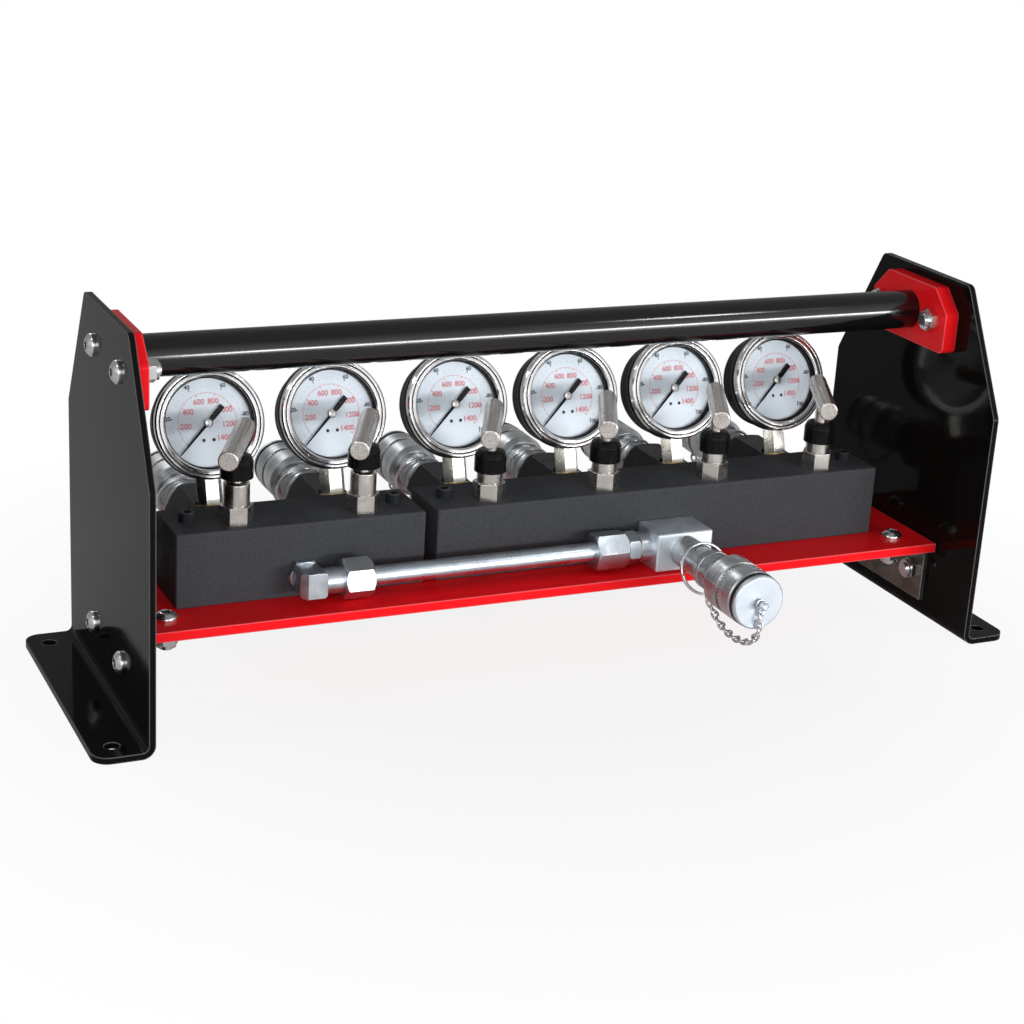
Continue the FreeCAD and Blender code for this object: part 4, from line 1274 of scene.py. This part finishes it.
    def chain(self, place: CouplerPlace) -> Shape:
        """Makes the ring, links and end eye of one cap's chain.

        Args:
            place: The chain's coupler.

        Returns:
            The chain's shape in the coupler's frame.
        """
        tilt = math.radians(self.ring_tilt)
        hang = ((self.ring_radius - self.ring_half) * math.cos(tilt) - self.ring_half * math.sin(tilt)
                - place.carrier_radius - self.ring_play)
        centre = Vector((0.0, place.ring_out, -hang))
        shape = Shape().join(self.split_ring(), Matrix.Translation(centre) @ Matrix.Rotation(tilt, 4, "X"))
        down = Vector((0.0, math.sin(tilt), -math.cos(tilt)))
        low = centre + down * self.ring_radius
        eye = self.stud_radius + self.link_wire + self.eye_play
        eye_path = [Vector((math.cos(turn) * eye, self.stud_out, math.sin(turn) * eye * self.eye_stretch
                            - self.eye_drop)) for turn in np.linspace(0, math.tau, self.eye_points, endpoint=False)]
        shape.join(swept_wire(eye_path, self.link_wire, self.link_sides, closed=True))
        end = Vector((0.0, self.stud_out + self.links_end[0], -eye * self.eye_stretch - self.links_end[1]))
        hanging = [Vector((0.0, out, height)) for out, height in place.sag]
        route = self.smooth_route([low + down * self.first_link, *hanging, end])
        steps = [(after - before).length for before, after in zip(route, route[1:])]
        count = round(sum(steps) / self.link_step)
        link = self.curb_link()
        for index in range(count + 1):
            point, along = self.on_route(route, steps, sum(steps) * index / count)
            turned = Matrix.Rotation(math.radians(self.link_turn if index % 2 else -self.link_turn), 4, "X")
            basis = Matrix((along, AXIS_X, along.cross(AXIS_X))).transposed().to_4x4()
            shape.join(link, Matrix.Translation(point) @ basis @ turned)
        return shape

    def smooth_route(self, corners: Sequence[Vector]) -> list[Vector]:
        """Rounds the chain's hanging points into a smooth line.

        Args:
            corners: Points that the line goes through.

        Returns:
            Points of the line.
        """
        route = []
        spread = [corners[0] * 2 - corners[1], *corners, corners[-1] * 2 - corners[-2]]
        for a, b, c, d in zip(spread, spread[1:], spread[2:], spread[3:]):
            for step in range(self.route_steps):
                t = step / self.route_steps
                route.append(0.5 * (2 * b + (c - a) * t + (2 * a - 5 * b + 4 * c - d) * t ** 2
                                    + (3 * b - a - 3 * c + d) * t ** 3))
        return route + [corners[-1]]

    def on_route(self, route: Sequence[Vector], steps: Sequence[float], run: float) -> tuple[Vector, Vector]:
        """Finds a place on the route.

        Args:
            route: Points of the route.
            steps: Lengths between them.
            run: Distance along the route.

        Returns:
            The point and the route's direction there.
        """
        for index, length in enumerate(steps):
            if run <= length or index == len(steps) - 1:
                break
            run -= length
        along = (route[index + 1] - route[index]).normalized()
        return route[index] + along * run, along

    def detail(self) -> None:
        """Adds bands, collar dots, cap bands and chains to every coupler."""
        bands = self.bands().mesh("barrel_bands")
        dots = self.dots().mesh("collar_dots")
        sealing = self.sealing_band().mesh("cap_band")
        for place in self.places():
            matrix, collar, cap = place.matrix(), place.name + "_collar", place.name + "_cap"
            add_piece(place.name + "_bands", bands, COUPLER_ZINC, ROOT, matrix)
            add_piece(collar + "_dots", dots, GROOVE_BROWN, collar, matrix)
            add_piece(cap + "_band", sealing, CAP_RUBBER, cap, matrix)
            title = place.name + "_chain"
            mesh = Shape().join(self.chain(place), matrix).mesh(title)
            add_hanging_piece(title, mesh, CHAIN_STEEL)
        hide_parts("cap_chains")


@dataclass
class InletRun:
    """Tee, elbow, union, nuts and tube that feed both blocks."""

    def dress(self) -> None:
        """Gives the fittings and the tube their finishes."""
        dress({
            TEE_ZINC: ["inlet_tee"],
            FITTING_ZINC: ["inlet_elbow", "tube_adapter", "tube_nuts"],
            TUBE_ZINC: ["inlet_tube"],
        })


# Studio

@dataclass(frozen=True)
class Softbox:
    """One soft area lamp, which points at the object."""

    name: str
    place: tuple[float, float, float]
    size: Pair
    power: float                            # in watts


@dataclass
class Studio:
    """Camera, lamps, white world and floor."""

    eye: tuple[float, float, float] = (-567.05, -1148.55, 541.31)       # in mm
    azimuth: float = 25.5
    elevation: float = 19.5
    roll: float = 3.4
    lens: float = 75.0
    sensor: float = 36.0
    clip_end: float = 20.0
    aim: tuple[float, float, float] = (0.0, 0.0, 0.11)
    softboxes: tuple[Softbox, ...] = (
        Softbox("key_softbox", (1.0, -2.08, 0.28), (1.35, 0.5), 11.0),
        Softbox("strip_softbox", (1.0, -2.03, 0.33), (1.35, 0.13), 16.0),
        Softbox("fill_softbox", (-0.95, -2.3, 0.75), (1.6, 1.1), 20.0),
        Softbox("back_softbox", (-0.5, 1.9, 1.45), (0.7, 0.24), 5.0),
        Softbox("left_strobe", (-1.18, -0.14, 1.3), (0.14, 0.14), 2.4),
        Softbox("right_strobe", (0.86, -0.94, 1.22), (0.14, 0.14), 1.4),
    )
    world_front: float = 0.5                # light from the room in front of the object
    world_back: float = 0.16                # from behind it
    world_above: float = 0.14               # and from overhead
    front_to_back: Pair = (-0.5, 0.5)       # where the one passes into the other
    side_to_above: Pair = (0.35, 0.75)
    mirror_gain: float = 1.8                # how much paler the backdrop is in reflections
    floor_size: float = 6.0
    floor_height: float = -0.3 * MM
    floor_colour: Colour = (0.9, 0.9, 0.9)
    floor_roughness: float = 0.9
    floor_keep: float = 0.16                # share of the lit floor that the camera sees at the object
    shadow: Pair = (0.15, 0.5)              # distances of the full shadow and of the plain white floor

    def camera(self) -> None:
        """Sets up the camera at the photograph's viewing angle."""
        lens = bpy.data.cameras.new("camera")
        lens.lens = self.lens
        lens.sensor_width = self.sensor
        lens.clip_end = self.clip_end
        holder = placed("camera", lens)
        turn, lift = math.radians(self.azimuth), math.radians(self.elevation)
        ahead = Vector((math.sin(turn) * math.cos(lift), math.cos(turn) * math.cos(lift), -math.sin(lift)))
        level = Vector((math.cos(turn), -math.sin(turn), 0.0))
        raised = level.cross(ahead)
        roll = math.radians(self.roll)
        right = level * math.cos(roll) + raised * math.sin(roll)
        basis = Matrix((right, right.cross(ahead), -ahead)).transposed().to_4x4()
        holder.matrix_world = Matrix.Translation(Vector(self.eye) * MM) @ basis
        bpy.context.scene.camera = holder

    def lamps(self) -> None:
        """Sets up the front, side and back lamps."""
        for box in self.softboxes:
            lamp = bpy.data.lights.new(box.name, "AREA")
            lamp.shape = "RECTANGLE"
            lamp.size, lamp.size_y = box.size
            lamp.energy = box.power
            holder = placed(box.name, lamp)
            holder.location = box.place
            holder.rotation_mode = "QUATERNION"
            holder.rotation_quaternion = (Vector(self.aim) - Vector(box.place)).to_track_quat("-Z", "Y")

    def world(self) -> None:
        """Makes the world white to the camera, pale in reflections and plain elsewhere."""
        world = bpy.data.worlds.new("white_studio")
        world.use_nodes = True
        bpy.context.scene.world = world
        tree = Tree(world.node_tree)
        rays = tree.add("LightPath")
        towards = tree.add("SeparateXYZ", {0: tree.add("TexCoord").outputs["Generated"]}).outputs
        level = tree.between(towards[1], self.front_to_back, (self.world_front, self.world_back))
        lit = tree.between(towards[2], self.side_to_above, (level, self.world_above))
        paler = tree.math("MULTIPLY", lit, self.mirror_gain, clamp=True)
        mirrored = tree.between(rays.outputs["Is Glossy Ray"], ALL, (lit, paler))
        strength = tree.between(tree.straight_rays(rays), ALL, (mirrored, 1.0))
        tree.feed(world.node_tree.nodes["Background"], {"Color": WHITE, "Strength": strength})

    def floor(self) -> None:
        """Lays the pale floor, which keeps a faint shadow of the object."""
        half = self.floor_size / 2
        corners = [Vector((x, y, self.floor_height))
                   for x, y in ((-half, -half), (half, -half), (half, half), (-half, half))]
        sheet = placed("floor", Shape(corners, [(0, 1, 2, 3)]).mesh("floor"))
        made = bpy.data.materials.new("pale_floor")
        made.use_nodes = True
        tree = Tree(made.node_tree)
        shader = made.node_tree.nodes["Principled BSDF"]
        tree.feed(shader, {"Base Color": self.floor_colour, "Roughness": self.floor_roughness,
                           "Specular IOR Level": 0.0})
        away = tree.add("VectorMath", {0: tree.place()}, operation="LENGTH").outputs["Value"]
        white = tree.between(away, self.shadow, (1.0 - self.floor_keep, 1.0))
        share = tree.times(tree.straight_rays(tree.add("LightPath")), white)
        glow = tree.add("Emission", {"Color": WHITE, "Strength": 1.0})
        mixed = tree.add("MixShader", {0: share, 1: shader.outputs[0], 2: glow.outputs[0]})
        tree.feed(made.node_tree.nodes["Material Output"], {"Surface": mixed.outputs[0]})
        sheet.data.materials.append(made)

    def build(self) -> None:
        """Builds the whole studio."""
        bpy.context.scene.view_settings.view_transform = "Standard"
        self.camera()
        self.lamps()
        self.world()
        self.floor()


def main() -> None:
    """Builds and dresses the manifold, one sub-assembly after the other."""
    logging.basicConfig(level=logging.INFO, format="%(name)s: %(message)s")
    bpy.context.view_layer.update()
    carrying, gauges, couplers = CarryingFrame(), PressureGauges(), QuickCouplers()
    steps: list[tuple[str, Callable[[], None]]] = [
        ("studio", Studio().build),
        ("carrying frame", carrying.dress),
        ("bolt heads", carrying.round_heads),
        ("drilled blocks", DrilledBlocks().dress),
        ("needle valves", NeedleValves().dress),
        ("gauges", gauges.dress),
        ("dial prints", gauges.detail),
        ("couplers", couplers.dress),
        ("coupler details", couplers.detail),
        ("inlet run", InletRun().dress),
    ]
    for title, step in steps:
        step()
        LOG.info("%s done", title)


if __name__ == "__main__":
    main()
